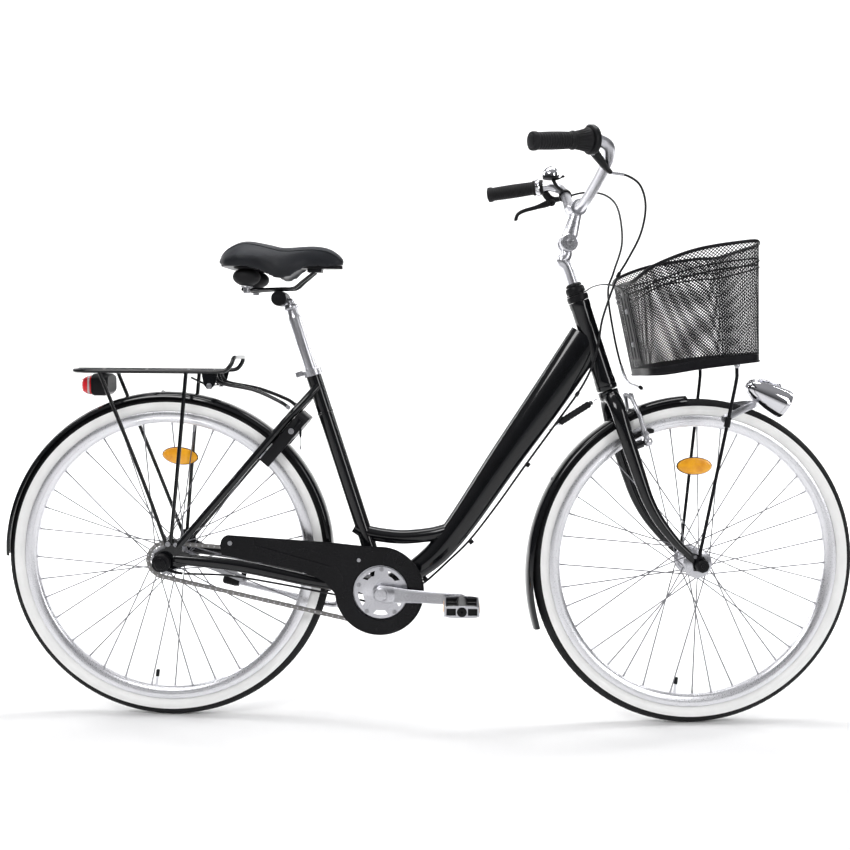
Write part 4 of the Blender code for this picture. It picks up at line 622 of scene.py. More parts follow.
# ---- frame --------------------------------------------------------------------------------
def build_frame():
    piece = Piece("frame_tubes", "frame", PAINT, STEEL, PLASTIC)
    down = [((0.474, 0, 0.293), 0.022, 0.0215), ((0.503, 0, 0.306), 0.022, 0.0225),
        ((0.532, 0, 0.325), 0.022, 0.0235), ((0.58, 0, 0.366), 0.0225, 0.0265),
        ((0.634, 0, 0.436), 0.023, 0.03), ((0.721, 0, 0.569), 0.023, 0.034),
        ((0.814, 0, 0.706), 0.0225, 0.0385), ((0.893, 0, 0.828), 0.0195, 0.04)]
    piece.tube([p for p, _, _ in down], [(a, b) for _, a, b in down], 48, ACROSS, 6)
    head = [(0.018, 0.0078), (0.0218, 0.0078), (0.0222, 0.006), (0.0222, -0.004), (0.0212, -0.008),
        (0.021, -0.09), (0.0212, -0.162), (0.0222, -0.166), (0.0222, -0.1765), (0.0219, -0.178),
        (0.0226, -0.1785), (0.0229, -0.1805), (0.0225, -0.186), (0.0215, -0.188), (0.018, -0.188)]
    piece.turned(HEAD, HEAD_AXIS, head, 64, True)
    seat_top = CRANK + POST_AXIS * SEAT_TUBE
    piece.turned(CRANK, POST_AXIS, [(0.0165, 0.0), (0.0165, SEAT_TUBE), (0.0143, SEAT_TUBE),
        (0.0143, 0.47)], 48)
    piece.turned(CRANK, ACROSS, even((0.0171, -0.034), (0.0198, -0.034), (0.0205, -0.033)), 64, True)
    link = [(0.4, 0, 0.42), (0.43, 0, 0.405), (0.497, 0, 0.3965), (0.56, 0, 0.402), (0.6, 0, 0.412)]
    piece.tube(link, 0.0155, 32, ACROSS, 8)
    bead = CRANK + POST_AXIS * 0.3985
    piece.turned(bead, POST_AXIS, even((0.016, -0.003), (0.0176, -0.0015)), 48)
    seat_stay = [(0.322, 0.01, 0.722), (0.296, 0.024, 0.6915), (0.25, 0.0365, 0.64),
        (0.12, 0.0495, 0.487), (0.03, 0.0605, 0.381)]
    chain_stay = [(0.452, 0.014, 0.287), (0.425, 0.0295, 0.289), (0.384, 0.0333, 0.2945),
        (0.354, 0.0353, 0.299), (0.3, 0.042, 0.309), (0.16, 0.054, 0.34), (0.045, 0.0612, 0.354),
        (0.022, 0.0622, 0.356)]
    stay_size = [(0.008, 0.0125)] * 5 + [(0.0085, 0.013), (0.008, 0.012), (0.007, 0.01)]
    dropout = [(-0.02, 0.344), (0.004, 0.344), (0.0058, 0.347), (0.0062, 0.35), (0.0058, 0.353),
        (0.004, 0.356), (-0.02, 0.356), (-0.018, 0.368), (0.004, 0.378), (0.01, 0.396), (0.024, 0.4),
        (0.04, 0.39), (0.04, 0.374), (0.06, 0.364), (0.06, 0.344), (0.03, 0.336), (0.006, 0.33),
        (-0.014, 0.333)]
    for side in (-1.0, 1.0):
        piece.tube(on_side(seat_stay, side), [0.0083, 0.0083, 0.0083, 0.008, 0.0074], 24, ACROSS, 8)
        piece.tube(on_side(chain_stay, side), stay_size, 24, ACROSS, 6)
        piece.plate(dropout, side * 0.06, side * 0.065)
        piece.slot = 1
        piece.bolt((0.027, side * 0.065, 0.386), (0.0, side, 0.0), 0.0034, 0.0022)
        piece.slot = 0
    piece.tube([(0.262, -0.034, 0.654), (0.262, 0.034, 0.654)], 0.0065, 20)
    piece.tube([(0.384, -0.026, 0.291), (0.384, 0.026, 0.291)], 0.008, 20)
    piece.slot = 2
    for along, (x, z) in enumerate(((0.872, 0.708), (0.77, 0.556), (0.651, 0.388), (0.552, 0.306))):
        direction = at(0.56, 0.0, 0.83) if along < 2 else at(0.75, 0.0, 0.66)
        here = at(x, -0.005, z)
        piece.turned(here - direction * 0.005, direction, [(0.0026, 0.0), (0.0042, 0.0), (0.0042, 0.01),
            (0.0026, 0.01)], 20, True)
    piece.done("frame", slot="black_paint")
    clamp = Piece("seat_clamp_ring", "frame", ALLOY, STEEL)
    clamp.turned(seat_top, POST_AXIS, [(0.0168, -0.011), (0.02, -0.011), (0.0208, -0.01),
        (0.0208, 0.002), (0.02, 0.0032), (0.0142, 0.0032), (0.0142, 0.0016), (0.0168, 0.0014)], 64,
        True)
    turn = Matrix.Rotation(radians(-18.0), 4, "Y")
    for side in (-1.0, 1.0):
        clamp.block(seat_top + at(-0.0265, side * 0.0048, -0.0075), (0.015, 0.006, 0.0115), turn)
    clamp.slot = 1
    clamp.tube([seat_top + at(-0.029, -0.0095, -0.008), seat_top + at(-0.029, 0.0095, -0.008)], 0.0036,
        18)
    clamp.done("seat_clamp", slot="alloy", bevel=0.0005)
    bracket = Piece("bottom_bracket_cup", "frame", STEEL)
    bracket.turned(CRANK, ACROSS, even((0.0095, -0.0362), (0.016, -0.0362), (0.0166, -0.0352)), 48,
        True)
    bracket.done("bottom_bracket_cartridge", slot="steel")
    upper = Piece("headset_upper_stack", "steering", PLASTIC, front=True)
    upper.turned(HEAD, HEAD_AXIS, [(0.0135, 0.0083), (0.0208, 0.0083), (0.0224, 0.01), (0.0228, 0.016),
        (0.0222, 0.0206), (0.0212, 0.0215), (0.016, 0.0217), (0.016, 0.0253), (0.0196, 0.0255),
        (0.0202, 0.0275), (0.0202, 0.035), (0.0186, 0.0392), (0.0135, 0.04)], 64, True)
    upper.done("headset_upper_race", slot="black_plastic")


def build_ring_lock():
    """A horseshoe wheel lock: a body over the tyre, two legs, and a key that hangs from it."""
    slope = radians(49.5)
    centre = at(0.2809, 0.0, 0.6406)
    up_stay = at(cos(slope), 0.0, sin(slope))
    ahead = at(sin(slope), 0.0, -cos(slope))
    half = [(0.0455, -0.108), (0.0468, -0.106), (0.0468, -0.01), (0.0462, 0.002), (0.0435, 0.0105),
        (0.039, 0.0175), (0.032, 0.0225), (0.0235, 0.0252)]
    arch = [(0.031, -0.056), (0.03, -0.046), (0.027, -0.038), (0.021, -0.033)]
    outline = half + [(-y, a) for y, a in reversed(half)]
    outline += [(-0.0325, -0.108), (-0.0312, -0.1065)] + [(-y, a)
        for y, a in arch] + list(reversed(arch))
    outline += [(0.0312, -0.1065), (0.0325, -0.108)]
    piece = Piece("ring_lock_body", "frame", PLASTIC, STEEL, GUARD)

    def layer(depth, shrink):
        made = []
        for y, a in outline:
            made.append(centre + ahead * depth + ACROSS * y * (1.0 - shrink) + up_stay * a)
        return made

    piece.loft([layer(-0.012, 0.006), layer(-0.0112, 0.0), layer(0.0112, 0.0), layer(0.012, 0.006)])
    piece.slot = 2
    low = centre + up_stay * -0.001 - ACROSS * 0.03
    piece.tube([low - up_stay * 0.014, low + up_stay * 0.014], [(0.0168, 0.0082)] * 2, 28, ACROSS)
    piece.slot = 1
    piece.turned(centre + up_stay * -0.018 - ACROSS * 0.0466, -ACROSS,
        [(0.0062, -0.001), (0.0062, 0.0006), (0.003, 0.0008)], 28)
    key = centre + ahead * 0.01 - ACROSS * 0.043
    piece.slot = 0
    piece.tube([key, key - UP * 0.004, key - UP * 0.016, key - UP * 0.021],
        [(0.0012, 0.0012), (0.0026, 0.0026), (0.0024, 0.0024), (0.001, 0.001)], 16, spans=5)
    piece.tube([key - UP * 0.02, key - UP * 0.04], 0.0007, 8)
    piece.slot = 1
    piece.tube([key - UP * 0.039, key - UP * 0.046], [(0.0012, 0.002), (0.001, 0.0016)], 12)
    piece.done("ring_lock", slot="black_plastic", bevel=0.0014)


# ---- carrier and rear lamp ----------------------------------------------------------------
def build_carrier():
    deck_z = 0.751
    half = 0.06
    rail = 0.0046
    piece = Piece("carrier_rods", "frame", PAINT, STEEL)
    loop = [(0.118, half, deck_z), (0.0, half, deck_z), (-0.14, half, deck_z),
        (-0.172, half * 0.93, deck_z), (-0.19, half * 0.62, deck_z), (-0.1955, 0.0, deck_z)]
    piece.tube(loop + mirror(reversed(loop[:-1])), rail, 20, spans=6)
    hook = [(0.112, half, deck_z), (0.134, half * 0.98, deck_z + 0.003),
        (0.146, half * 0.95, deck_z + 0.016), (0.15, half * 0.86, deck_z + 0.028),
        (0.151, half * 0.55, deck_z + 0.03)]
    piece.tube(hook + mirror(reversed(hook)), rail, 20, spans=6)
    for x in (-0.13, -0.04, 0.05, 0.105):
        piece.tube([(x, -half, deck_z), (x, half, deck_z)], rail * 0.9, 16)
    piece.block((-0.035, 0.0, deck_z + 0.003), (0.31, 0.028, 0.005))
    for y in (-0.036, 0.036):
        piece.tube([(-0.186, y, deck_z), (0.108, y, deck_z)], 0.0026, 12)
    for side in (-1.0, 1.0):
        foot = 0.07 * side
        piece.tube([(-0.131, half * side, deck_z), (-0.04, half * 1.05 * side, 0.52),
            (0.009, foot, 0.386)], 0.0042, 16, spans=4)
        piece.tube([(0.052, half * side, deck_z), (0.034, half * 1.05 * side, 0.56),
            (0.018, foot, 0.39)], 0.0042, 16, spans=4)
        piece.tube([(0.105, 0.03 * side, deck_z), (0.112, 0.03 * side, 0.732),
            (0.128, 0.03 * side, 0.724), (0.19, 0.032 * side, 0.712), (0.2445, 0.0475 * side, 0.69),
            (0.266, 0.048 * side, 0.676)], 0.004, 16, spans=5)
        plate = [(0.084, 0.7475), (0.118, 0.7475), (0.112, 0.724), (0.104, 0.715), (0.095, 0.715),
            (0.088, 0.724)]
        piece.plate(plate, side * 0.056, side * 0.0585)
        piece.slot = 1
        piece.bolt((0.0995, side * 0.0587, 0.7215), (0.0, side, 0.0), 0.0042, 0.003)
        piece.bolt((0.013, side * 0.074, 0.389), (0.0, side, 0.0), 0.004, 0.0028)
        piece.bolt((0.264, side * 0.0522, 0.6775), (0.0, side, 0.0), 0.0036, 0.0026)
        piece.slot = 0
    piece.tube([(0.06, -0.05, 0.7385), (0.1, -0.052, 0.72)], 0.0022, 10)
    piece.tube([(0.06, 0.05, 0.7385), (0.1, 0.052, 0.72)], 0.0022, 10)
    piece.tube([(0.1, -0.052, 0.72), (0.1, 0.052, 0.72)], 0.0022, 10)
    piece.done("rear_carrier", slot="black_paint", bevel=0.0004)


def build_rear_lamp():
    low, high = (Vector(corner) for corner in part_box("rear_lamp_housing"))
    piece = Piece("rear_lamp_case", "frame", PLASTIC)
    middle_z = (low.z + high.z) / 2.0

    def rounded(x, half_y, half_z, lift=0.0, power=0.45):
        ring = []
        for turn in turns(56):
            wide, tall = squared(turn, power)
            ring.append((x, half_y * wide, middle_z + lift + half_z * tall))
        return ring

    half_y = high.y - 0.001
    half_z = (high.z - low.z) / 2.0 - 0.0005
    piece.loft([rounded(low.x + 0.0002, half_y * 0.96, half_z * 0.94),
        rounded(low.x + 0.002, half_y, half_z), rounded(low.x + 0.022, half_y, half_z),
        rounded(high.x - 0.006, half_y * 0.96, half_z * 0.92, 0.001),
        rounded(high.x - 0.001, half_y * 0.85, half_z * 0.75, 0.002)])
    piece.tube([(high.x - 0.02, 0.0, high.z - 0.004), (high.x - 0.02, 0.0, high.z + 0.004)], 0.006, 20)
    piece.done("rear_lamp_housing", slot="black_plastic")
    lens_low, lens_high = (Vector(corner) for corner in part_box("rear_lamp_lens"))
    lens = Piece("rear_lamp_glass", "frame", RED, CLEAR)
    half_y = lens_high.y - 0.001
    half_z = (lens_high.z - lens_low.z) / 2.0
    lens.loft([rounded(lens_high.x - 0.0002, half_y * 0.97, half_z, -0.001),
        rounded(lens_high.x - 0.01, half_y * 0.96, half_z * 0.97, -0.001),
        rounded(lens_high.x - 0.018, half_y * 0.88, half_z * 0.84, -0.001, 0.55),
        rounded(lens_high.x - 0.0225, half_y * 0.7, half_z * 0.6, -0.001, 0.7),
        rounded(lens_high.x - 0.024, half_y * 0.4, half_z * 0.3, -0.001, 0.9)])
    lens.slot = 1
    lens.loft([rounded(lens_high.x - 0.003, half_y * 1.0, half_z * 1.01, -0.001),
        rounded(lens_high.x - 0.005, half_y * 1.01, half_z * 1.02, -0.001),
        rounded(lens_high.x - 0.007, half_y * 1.0, half_z * 1.01, -0.001)])
    lens.slot = 0
    for k in range(5):
        z = middle_z - 0.001 + half_z * (-0.62 + 0.31 * k)
        lens.tube([(lens_high.x - 0.0195, -half_y * 0.8, z), (lens_high.x - 0.0236, -half_y * 0.35, z),
            (lens_high.x - 0.024, 0.0, z), (lens_high.x - 0.0236, half_y * 0.35, z),
            (lens_high.x - 0.0195, half_y * 0.8, z)], 0.001, 8, spans=5)
    lens.done("rear_lamp_lens", slot="red_lens")


# ---- drive --------------------------------------------------------------------------------
def pitch_radius(teeth):
    return CHAIN_PITCH / (2.0 * sin(pi / teeth))


def chain_route():
    """Points (x, z) a pitch apart round the chainring and the sprocket, with each one's direction."""
    ring = pitch_radius(RING_TEETH)
    sprocket = pitch_radius(SPROCKET_TEETH)
    line = CRANK - REAR_AXLE
    span = math.hypot(line.x, line.z)
    slope = math.degrees(math.atan2(line.z, line.x))
    spread = math.degrees(math.acos((sprocket - ring) / span))
    loop = arc(CRANK.x, CRANK.z, ring, slope - spread, slope + spread, 60)
    loop += arc(REAR_AXLE.x, REAR_AXLE.z, sprocket, slope + spread, slope - spread + 360.0, 40)
    loop.append(loop[0])
    lengths = [math.dist(a, b) for a, b in zip(loop, loop[1:])]
    count = 2 * round(sum(lengths) / CHAIN_PITCH / 2)
    step = sum(lengths) / count
    points = []
    walked = 0.0
    index = 0
    for k in range(count):
        while walked + lengths[index] < k * step:
            walked += lengths[index]
            index += 1
        share = (k * step - walked) / lengths[index]
        a, b = loop[index], loop[index + 1]
        points.append(at(a[0] + (b[0] - a[0]) * share, 0.0, a[1] + (b[1] - a[1]) * share))
    return points


def build_chain():
    piece = Piece("chain_links", "frame", CHAIN_STEEL, STEEL)
    points = chain_route()
    outer_link = 0.0032
    inner_link = 0.0022
    sheet = 0.0009
    plate_half = 0.004
    for k, here in enumerate(points):
        there = points[(k + 1) % len(points)]
        run = (there - here).normalized()
        rise = at(-run.z, 0.0, run.x)
        offset = outer_link if k % 2 else inner_link
        outline = []
        for centre, start in ((there, -100.0), (here, 80.0)):
            for step in range(7):
                turn = radians(start + 200.0 * step / 6)
                outline.append(centre + run * plate_half * cos(turn) + rise * plate_half * sin(turn))
        piece.slot = 0
        for side in (-1.0, 1.0):
            near = [(p.x, -CHAIN_LINE + side * offset, p.z) for p in outline]
            far = [(p.x, -CHAIN_LINE + side * (offset - sheet), p.z) for p in outline]
            piece.loft([near, far])
        piece.slot = 1
        pin = here - ACROSS * CHAIN_LINE
        piece.turned(pin, ACROSS, [(0.0018, -0.0036), (0.0018, 0.0036)], 10)
        piece.turned(pin, ACROSS, [(0.0037, -0.0012), (0.0037, 0.0012)], 12)
    piece.done("chain", slot="steel")


def toothed_outline(centre, teeth, tip_drop=0.0046, root_drop=0.0082):
    pitch = pitch_radius(teeth)
    outline = []
    for k in range(teeth):
        for part, drop in ((-0.4, root_drop), (-0.22, (root_drop + tip_drop) / 2), (-0.1, tip_drop),
                (0.1, tip_drop), (0.22, (root_drop + tip_drop) / 2), (0.4, root_drop)):
            turn = 2.0 * pi * (k + part) / teeth
            outline.append((centre.x + (pitch - drop) * cos(turn),
                centre.z + (pitch - drop) * sin(turn)))
    return outline


def circle(centre, radius, steps=48):
    return arc(centre.x, centre.z, radius, 0.0, 360.0 * (steps - 1) / steps, steps - 1)


def build_cranks():
    ring = Piece("chainring_teeth", "crankset", ALLOY)
    ring.plate(toothed_outline(CRANK, RING_TEETH), *TEETH_PLANE, [circle(CRANK, 0.05, 72)])
    ring.done("chainring", slot="alloy", bevel=0.0003)
    sprocket = Piece("sprocket_teeth", "rear_sprocket", STEEL)
    sprocket.plate(toothed_outline(REAR_AXLE, SPROCKET_TEETH), *TEETH_PLANE,
        [circle(REAR_AXLE, 0.007, 36)])
    sprocket.done("rear_sprocket", slot="steel", bevel=0.0003)
    for side, name in ((-1.0, "right"), (1.0, "left")):
        end = PEDALS[side]
        run = (end - CRANK).normalized()
        piece = Piece(f"crank_arm_{name}", "crankset", ALLOY, STEEL)
        lift = ACROSS * side * 0.0652
        path = [CRANK + run * a + lift for a in (-0.015, -0.01, 0.0, 0.02, 0.06, 0.11, 0.158, 0.174,
            0.182)]
        sizes = [(0.003, 0.008), (0.0058, 0.015), (0.0064, 0.0185), (0.0062, 0.018), (0.0058, 0.0142),
            (0.0056, 0.013), (0.0058, 0.0128), (0.0056, 0.0105), (0.003, 0.005)]
        piece.tube(path, sizes, 32, ACROSS, 4)
        piece.turned(CRANK, ACROSS, [(0.009, side * 0.0482), (0.018, side * 0.0482),
            (0.0192, side * 0.05), (0.018, side * 0.06), (0.009, side * 0.06)], 48, True)
        rise = at(-run.z, 0.0, run.x)
        for shift in (-1.0, 1.0):
            line = []
            for a, half_high in ((0.028, 0.015), (0.06, 0.0118), (0.11, 0.0106), (0.152, 0.0102)):
                line.append(CRANK + run * a + rise * shift * half_high + ACROSS * side * 0.0704)
            piece.tube(line, 0.0016, 12, spans=4)
        piece.slot = 1
        panel = [(0.03, 0.0132), (0.06, 0.0104), (0.11, 0.0092), (0.15, 0.0088)]
        ring_near = [CRANK + run * a + rise * h + ACROSS * side * 0.0713 for a, h in panel]
        ring_near += [CRANK + run * a - rise * h + ACROSS * side * 0.0713 for a, h in reversed(panel)]
        piece.loft([[p - ACROSS * side * 0.003 for p in ring_near], ring_near])
        piece.slot = 0
        piece.turned(CRANK, ACROSS, [(0.014, side * 0.07), (0.014, side * 0.0722),
            (0.0128, side * 0.0736), (0.002, side * 0.0742)], 40)
        piece.turned(CRANK, ACROSS, [(0.0152, side * 0.0708), (0.0164, side * 0.0714),
            (0.0164, side * 0.0722), (0.0152, side * 0.0722)], 40, True)
        piece.slot = 1
        piece.turned(end, ACROSS, [(0.0075, side * 0.07), (0.0075, side * 0.0775),
            (0.005, side * 0.078), (0.0048, side * 0.162)], 24)
        piece.slot = 0
        if side < 0.0:
            arms = 5
            arm_step = 360.0 / arms
            first_arm = 17.0
            holes = []
            for k in range(arms):
                middle = (k + 0.5) * arm_step + first_arm
                outer_arc = arc(CRANK.x, CRANK.z, 0.0485, middle - 19.0, middle + 19.0, 10)
                inner_arc = arc(CRANK.x, CRANK.z, 0.0385, middle + 13.0, middle - 13.0, 6)
                holes.append(outer_arc + inner_arc)
            piece.plate(circle(CRANK, 0.0555, 96), -0.0514, -0.0484, holes)
            piece.turned(CRANK, ACROSS, [(0.0086, -0.06), (0.0086, 0.0583)], 24)
            piece.slot = 1
            for k in range(arms):
                turn = radians(arm_step * k + first_arm)
                spot = CRANK + at(0.05 * cos(turn), -0.0514, 0.05 * sin(turn))
                piece.bolt(spot, -ACROSS, 0.0036, 0.0024)
        piece.done(f"crank_{name}", slot="alloy", bevel=0.0003)


def build_pedals():
    for side, name in ((-1.0, "right"), (1.0, "left")):
        centre = PEDALS[side]
        piece = Piece(f"pedal_platform_{name}", f"pedal_{name}", PLASTIC, ALLOY, AMBER)
        inner = 0.08
        outer = 0.172
        middle = side * (inner + outer) / 2.0
        length = outer - inner
        piece.turned(centre, ACROSS, [(0.0062, side * inner), (0.012, side * inner),
            (0.0132, side * (inner + 0.004)), (0.0112, side * (inner + 0.03)),
            (0.0112, side * (outer - 0.012)), (0.0126, side * (outer - 0.002)), (0.009, side * outer),
            (0.003, side * outer), (0.003, side * (outer - 0.004)), (0.0062, side * (outer - 0.004))],
            40, True)
        for place in (-0.4, 0.4):
            y = middle + place * length
            piece.block(centre + at(0.0, y, 0.0), (0.064, 0.009, 0.018))
        for place in (-0.14, 0.14):
            y = middle + place * length
            piece.block(centre + at(0.0, y, 0.0), (0.06, 0.005, 0.012))
        piece.slot = 1
        for y in (side * (outer - 0.0015), side * (inner + 0.006)):
            frame_outline = []
            for turn in turns(40):
                wide, tall = squared(turn, 0.4)
                frame_outline.append((centre.x + 0.035 * wide, centre.z + 0.0124 * tall))
            windows = [circle(centre, 0.0078, 32)]
            for end in (-1.0, 1.0):
                left = centre.x + end * 0.0215
                windows.append([(left - 0.0095, centre.z - 0.007), (left + 0.0095, centre.z - 0.007),
                    (left + 0.0095, centre.z + 0.007), (left - 0.0095, centre.z + 0.007)])
            piece.plate(frame_outline, y - 0.0009, y + 0.0009, windows)
        for end in (-1.0, 1.0):
            x = centre.x + end * 0.0345
            outline = []
            teeth = 12
            for k in range(teeth + 1):
                along = -0.5 + k / teeth
                outline.append((along, 0.0125 if k % 2 else 0.0102))
            outline += [(a, -h) for a, h in reversed(outline)]
            near = [(x - 0.0012, centre.y + middle + a * (length - 0.004), centre.z + h)
                for a, h in outline]
            far = [(x + 0.0012, y, z) for _x, y, z in near]
            piece.loft([near, far])
            piece.slot = 2
            piece.block((centre.x + end * 0.0364, middle, centre.z), (0.0016, 0.048, 0.0125))
            piece.slot = 1
        piece.done(f"pedal_{name}", slot="black_plastic", bevel=0.0005)


def build_chainguard():
    centre = at(CRANK.x - 0.003, 0.0, CRANK.z + 0.004)
    outer = 0.0945
    face = -0.0555
    outline = [(0.119, 0.384), (0.1215, 0.396), (0.127, 0.403), (0.134, 0.4065), (0.36, 0.3925)]
    outline += arc(centre.x, centre.z, outer, 98.0, -176.0, 84)
    outline += [(0.34, 0.309), (0.32, 0.319), (0.27, 0.336), (0.122, 0.364)]
    hole_at = at(centre.x + 0.002, 0.0, centre.z - 0.003)
    piece = Piece("chainguard_cover", "frame", GUARD, STEEL)
    piece.plate(outline, face, face + 0.0015, [circle(hole_at, 0.058, 96)])
    edge = [(0.1215, 0.394), (0.1275, 0.4015), (0.1345, 0.405), (0.36, 0.391)]
    edge += arc(centre.x, centre.z, outer - 0.0012, 98.0, -120.0, 70)
    inner_edge = [(0.1232, 0.3936), (0.1287, 0.4002), (0.135, 0.4034), (0.3595, 0.3894)]
    inner_edge += arc(centre.x, centre.z, outer - 0.0028, 98.0, -120.0, 70)
    piece.plate(edge + inner_edge[::-1], face + 0.0008, -0.044)
    bead = [(x, face - 0.0002, z) for x, z in inner_edge]
    piece.tube(bead, [(0.0007, 0.001)] * len(bead), 8, ACROSS)
    rim = [at(x, face, z) for x, z in circle(hole_at, 0.0592, 96)]
    piece.tube(rim + rim[:2], 0.0011, 8, ACROSS)
    piece.tube([(0.19, face, 0.3855), (0.205, face, 0.3815), (0.335, face, 0.346), (0.35, face, 0.342)],
        [(0.0004, 0.001), (0.0009, 0.0022), (0.0009, 0.0022), (0.0004, 0.001)], 12, ACROSS, 8)
    piece.slot = 1
    piece.bolt((0.14, face, 0.389), -ACROSS, 0.0036, 0.0022)
    piece.bolt((0.413, face, 0.356), -ACROSS, 0.003, 0.0018)
    piece.done("chainguard", slot="black_plastic", bevel=0.0003)


def build_coaster_arm():
    piece = Piece("coaster_arm_plate", "frame", STEEL, PLASTIC)
    outline = [(-0.011, 0.342), (-0.004, 0.338), (0.02, 0.331), (0.148, 0.281), (0.155, 0.2835),
        (0.158, 0.288), (0.152, 0.296), (0.03, 0.35), (0.012, 0.358), (0.0, 0.3625), (-0.01, 0.359)]
    holes = [circle(at(0.149, 0.0, 0.288), 0.0025, 20), circle(at(0.128, 0.0, 0.2965), 0.0025, 20),
        circle(REAR_AXLE, 0.0056, 28)]
    piece.plate(outline, 0.0475, 0.05, holes)
    piece.slot = 1
    piece.tube([(0.146, 0.0515, 0.289), (0.15, 0.0535, 0.306), (0.151, 0.055, 0.324)],
        [(0.0014, 0.006)] * 3, 10, ACROSS, 4)
    piece.slot = 0
    piece.bolt((0.149, 0.052, 0.288), ACROSS, 0.0036, 0.0026)
    piece.done("coaster_brake_arm", slot="steel", bevel=0.0003)


def build_kickstand():
    mount = Piece("kickstand_mount", "frame", PLASTIC, STEEL)
    mount.block((0.379, -0.0015, 0.2738), (0.032, 0.049, 0.019))
    mount.turned(STAND_PIVOT, STAND_AXIS, [(0.0108, 0.0005), (0.0112, 0.0012), (0.0112, 0.015),
        (0.0095, 0.016)], 40)
    mount.block((0.3757, 0.0152, 0.25), (0.0205, 0.0135, 0.033))
    mount.slot = 1
    mount.bolt((0.379, 0.0, 0.2645), -UP, 0.006, 0.004)
    mount.bolt(STAND_PIVOT + STAND_AXIS * 0.016, STAND_AXIS, 0.005, 0.003)
    mount.done("kickstand_bracket", slot="black_plastic", bevel=0.0012)
    foot = at(0.108, 0.064, 0.284)
    direction = foot - STAND_PIVOT
    knee = STAND_PIVOT + at(-0.03, 0.012, -0.003)
    end = STAND_PIVOT + direction * 0.9
    leg = Piece("kickstand_leg_rod", "kickstand", ALLOY)
    leg.tube([STAND_PIVOT - STAND_AXIS * 0.007, STAND_PIVOT + at(-0.012, 0.009, -0.002), knee,
        knee.lerp(end, 0.4), end], [(0.0068, 0.0078), (0.0068, 0.0078), (0.006, 0.0072),
        (0.0058, 0.0068), (0.0055, 0.0062)], 24, UP, 6)
    side_way = direction.cross(UP).normalized()
    for shift in (-0.0022, 0.0022):
        leg.tube([knee + UP * shift - side_way * 0.0056, end + UP * shift - side_way * 0.0052], 0.0012,
            8)
    leg.turned(STAND_PIVOT, STAND_AXIS, [(0.009, -0.0155), (0.011, -0.0145), (0.0112, -0.001),
        (0.0108, -0.0001)], 40)
    leg.done("kickstand_leg", slot="alloy")
    tip = (end - knee).normalized()
    shoe = Piece("kickstand_rubber_foot", "kickstand", RUBBER)
    profile = [(0.0088, -0.0035), (0.0094, 0.0)]
    for k in range(5):
        profile += [(0.0106, 0.004 + 0.0055 * k), (0.0106, 0.007 + 0.0055 * k),
            (0.01, 0.0078 + 0.0055 * k)]
    profile += [(0.0102, 0.031), (0.007, 0.0338)]
    shoe.turned(end, tip, profile, 36)
    shoe.done("kickstand_foot", slot="black_rubber")


# ---- fork and front brake -----------------------------------------------------------------
def head_point(along, forward=0.0, across=0.0):
    return HEAD + HEAD_AXIS * along + HEAD_SQUARE * forward + ACROSS * across


def build_fork():
    piece = Piece("fork_blades", "steering", PAINT, STEEL, front=True)
    piece.turned(HEAD, HEAD_AXIS, [(0.0118, 0.0415), (0.0128, 0.0415), (0.013, -0.189),
        (0.0118, -0.189)], 40, True)
    piece.turned(HEAD, HEAD_AXIS, [(0.012, -0.19), (0.0205, -0.1905), (0.0218, -0.192),
        (0.0218, -0.205), (0.02, -0.208), (0.006, -0.208)], 48)
    blade = [(0.937, 0.006, 0.706), (0.943, 0.024, 0.699), (0.951, 0.039, 0.675),
        (0.963, 0.0445, 0.632), (0.998, 0.048, 0.53), (1.016, 0.0495, 0.4834), (1.041, 0.051, 0.44),
        (1.076, 0.0525, 0.397), (1.104, 0.053, 0.371)]
    sizes = [(0.0125, 0.0165), (0.0125, 0.0165), (0.0125, 0.0165), (0.0122, 0.016), (0.0108, 0.014),
        (0.01, 0.0125), (0.0092, 0.0112), (0.0082, 0.0095), (0.007, 0.008)]
    dropout = [(-0.03, 0.03), (-0.01, 0.024), (0.006, 0.018), (0.016, 0.002), (0.013, -0.012),
        (0.0056, -0.014), (0.0054, 0.002), (0.0, 0.0056), (-0.0054, 0.002), (-0.0056, -0.013),
        (-0.015, -0.012), (-0.018, 0.004), (-0.038, 0.02)]
    plate = [(FRONT_AXLE.x + x, FRONT_AXLE.z + z) for x, z in dropout]
    for side in (-1.0, 1.0):
        piece.tube(on_side(blade, side), sizes, 32, ACROSS, 6)
        piece.plate(plate, side * 0.0505, side * 0.0555)
        root = at(BRAKE_PIVOT.x, side * 0.04, BRAKE_PIVOT.z)
        piece.turned(root - HEAD_SQUARE * 0.024, HEAD_SQUARE, [(0.0085, 0.0), (0.0085, 0.0235),
            (0.0072, 0.0245), (0.0055, 0.025), (0.0055, 0.029)], 24)
        piece.slot = 1
        piece.bolt((FRONT_AXLE.x - 0.012, side * 0.0555, FRONT_AXLE.z + 0.0175), ACROSS * side, 0.003,
            0.0022)
        piece.slot = 0
    piece.done("fork", slot="black_paint", bevel=0.0003)


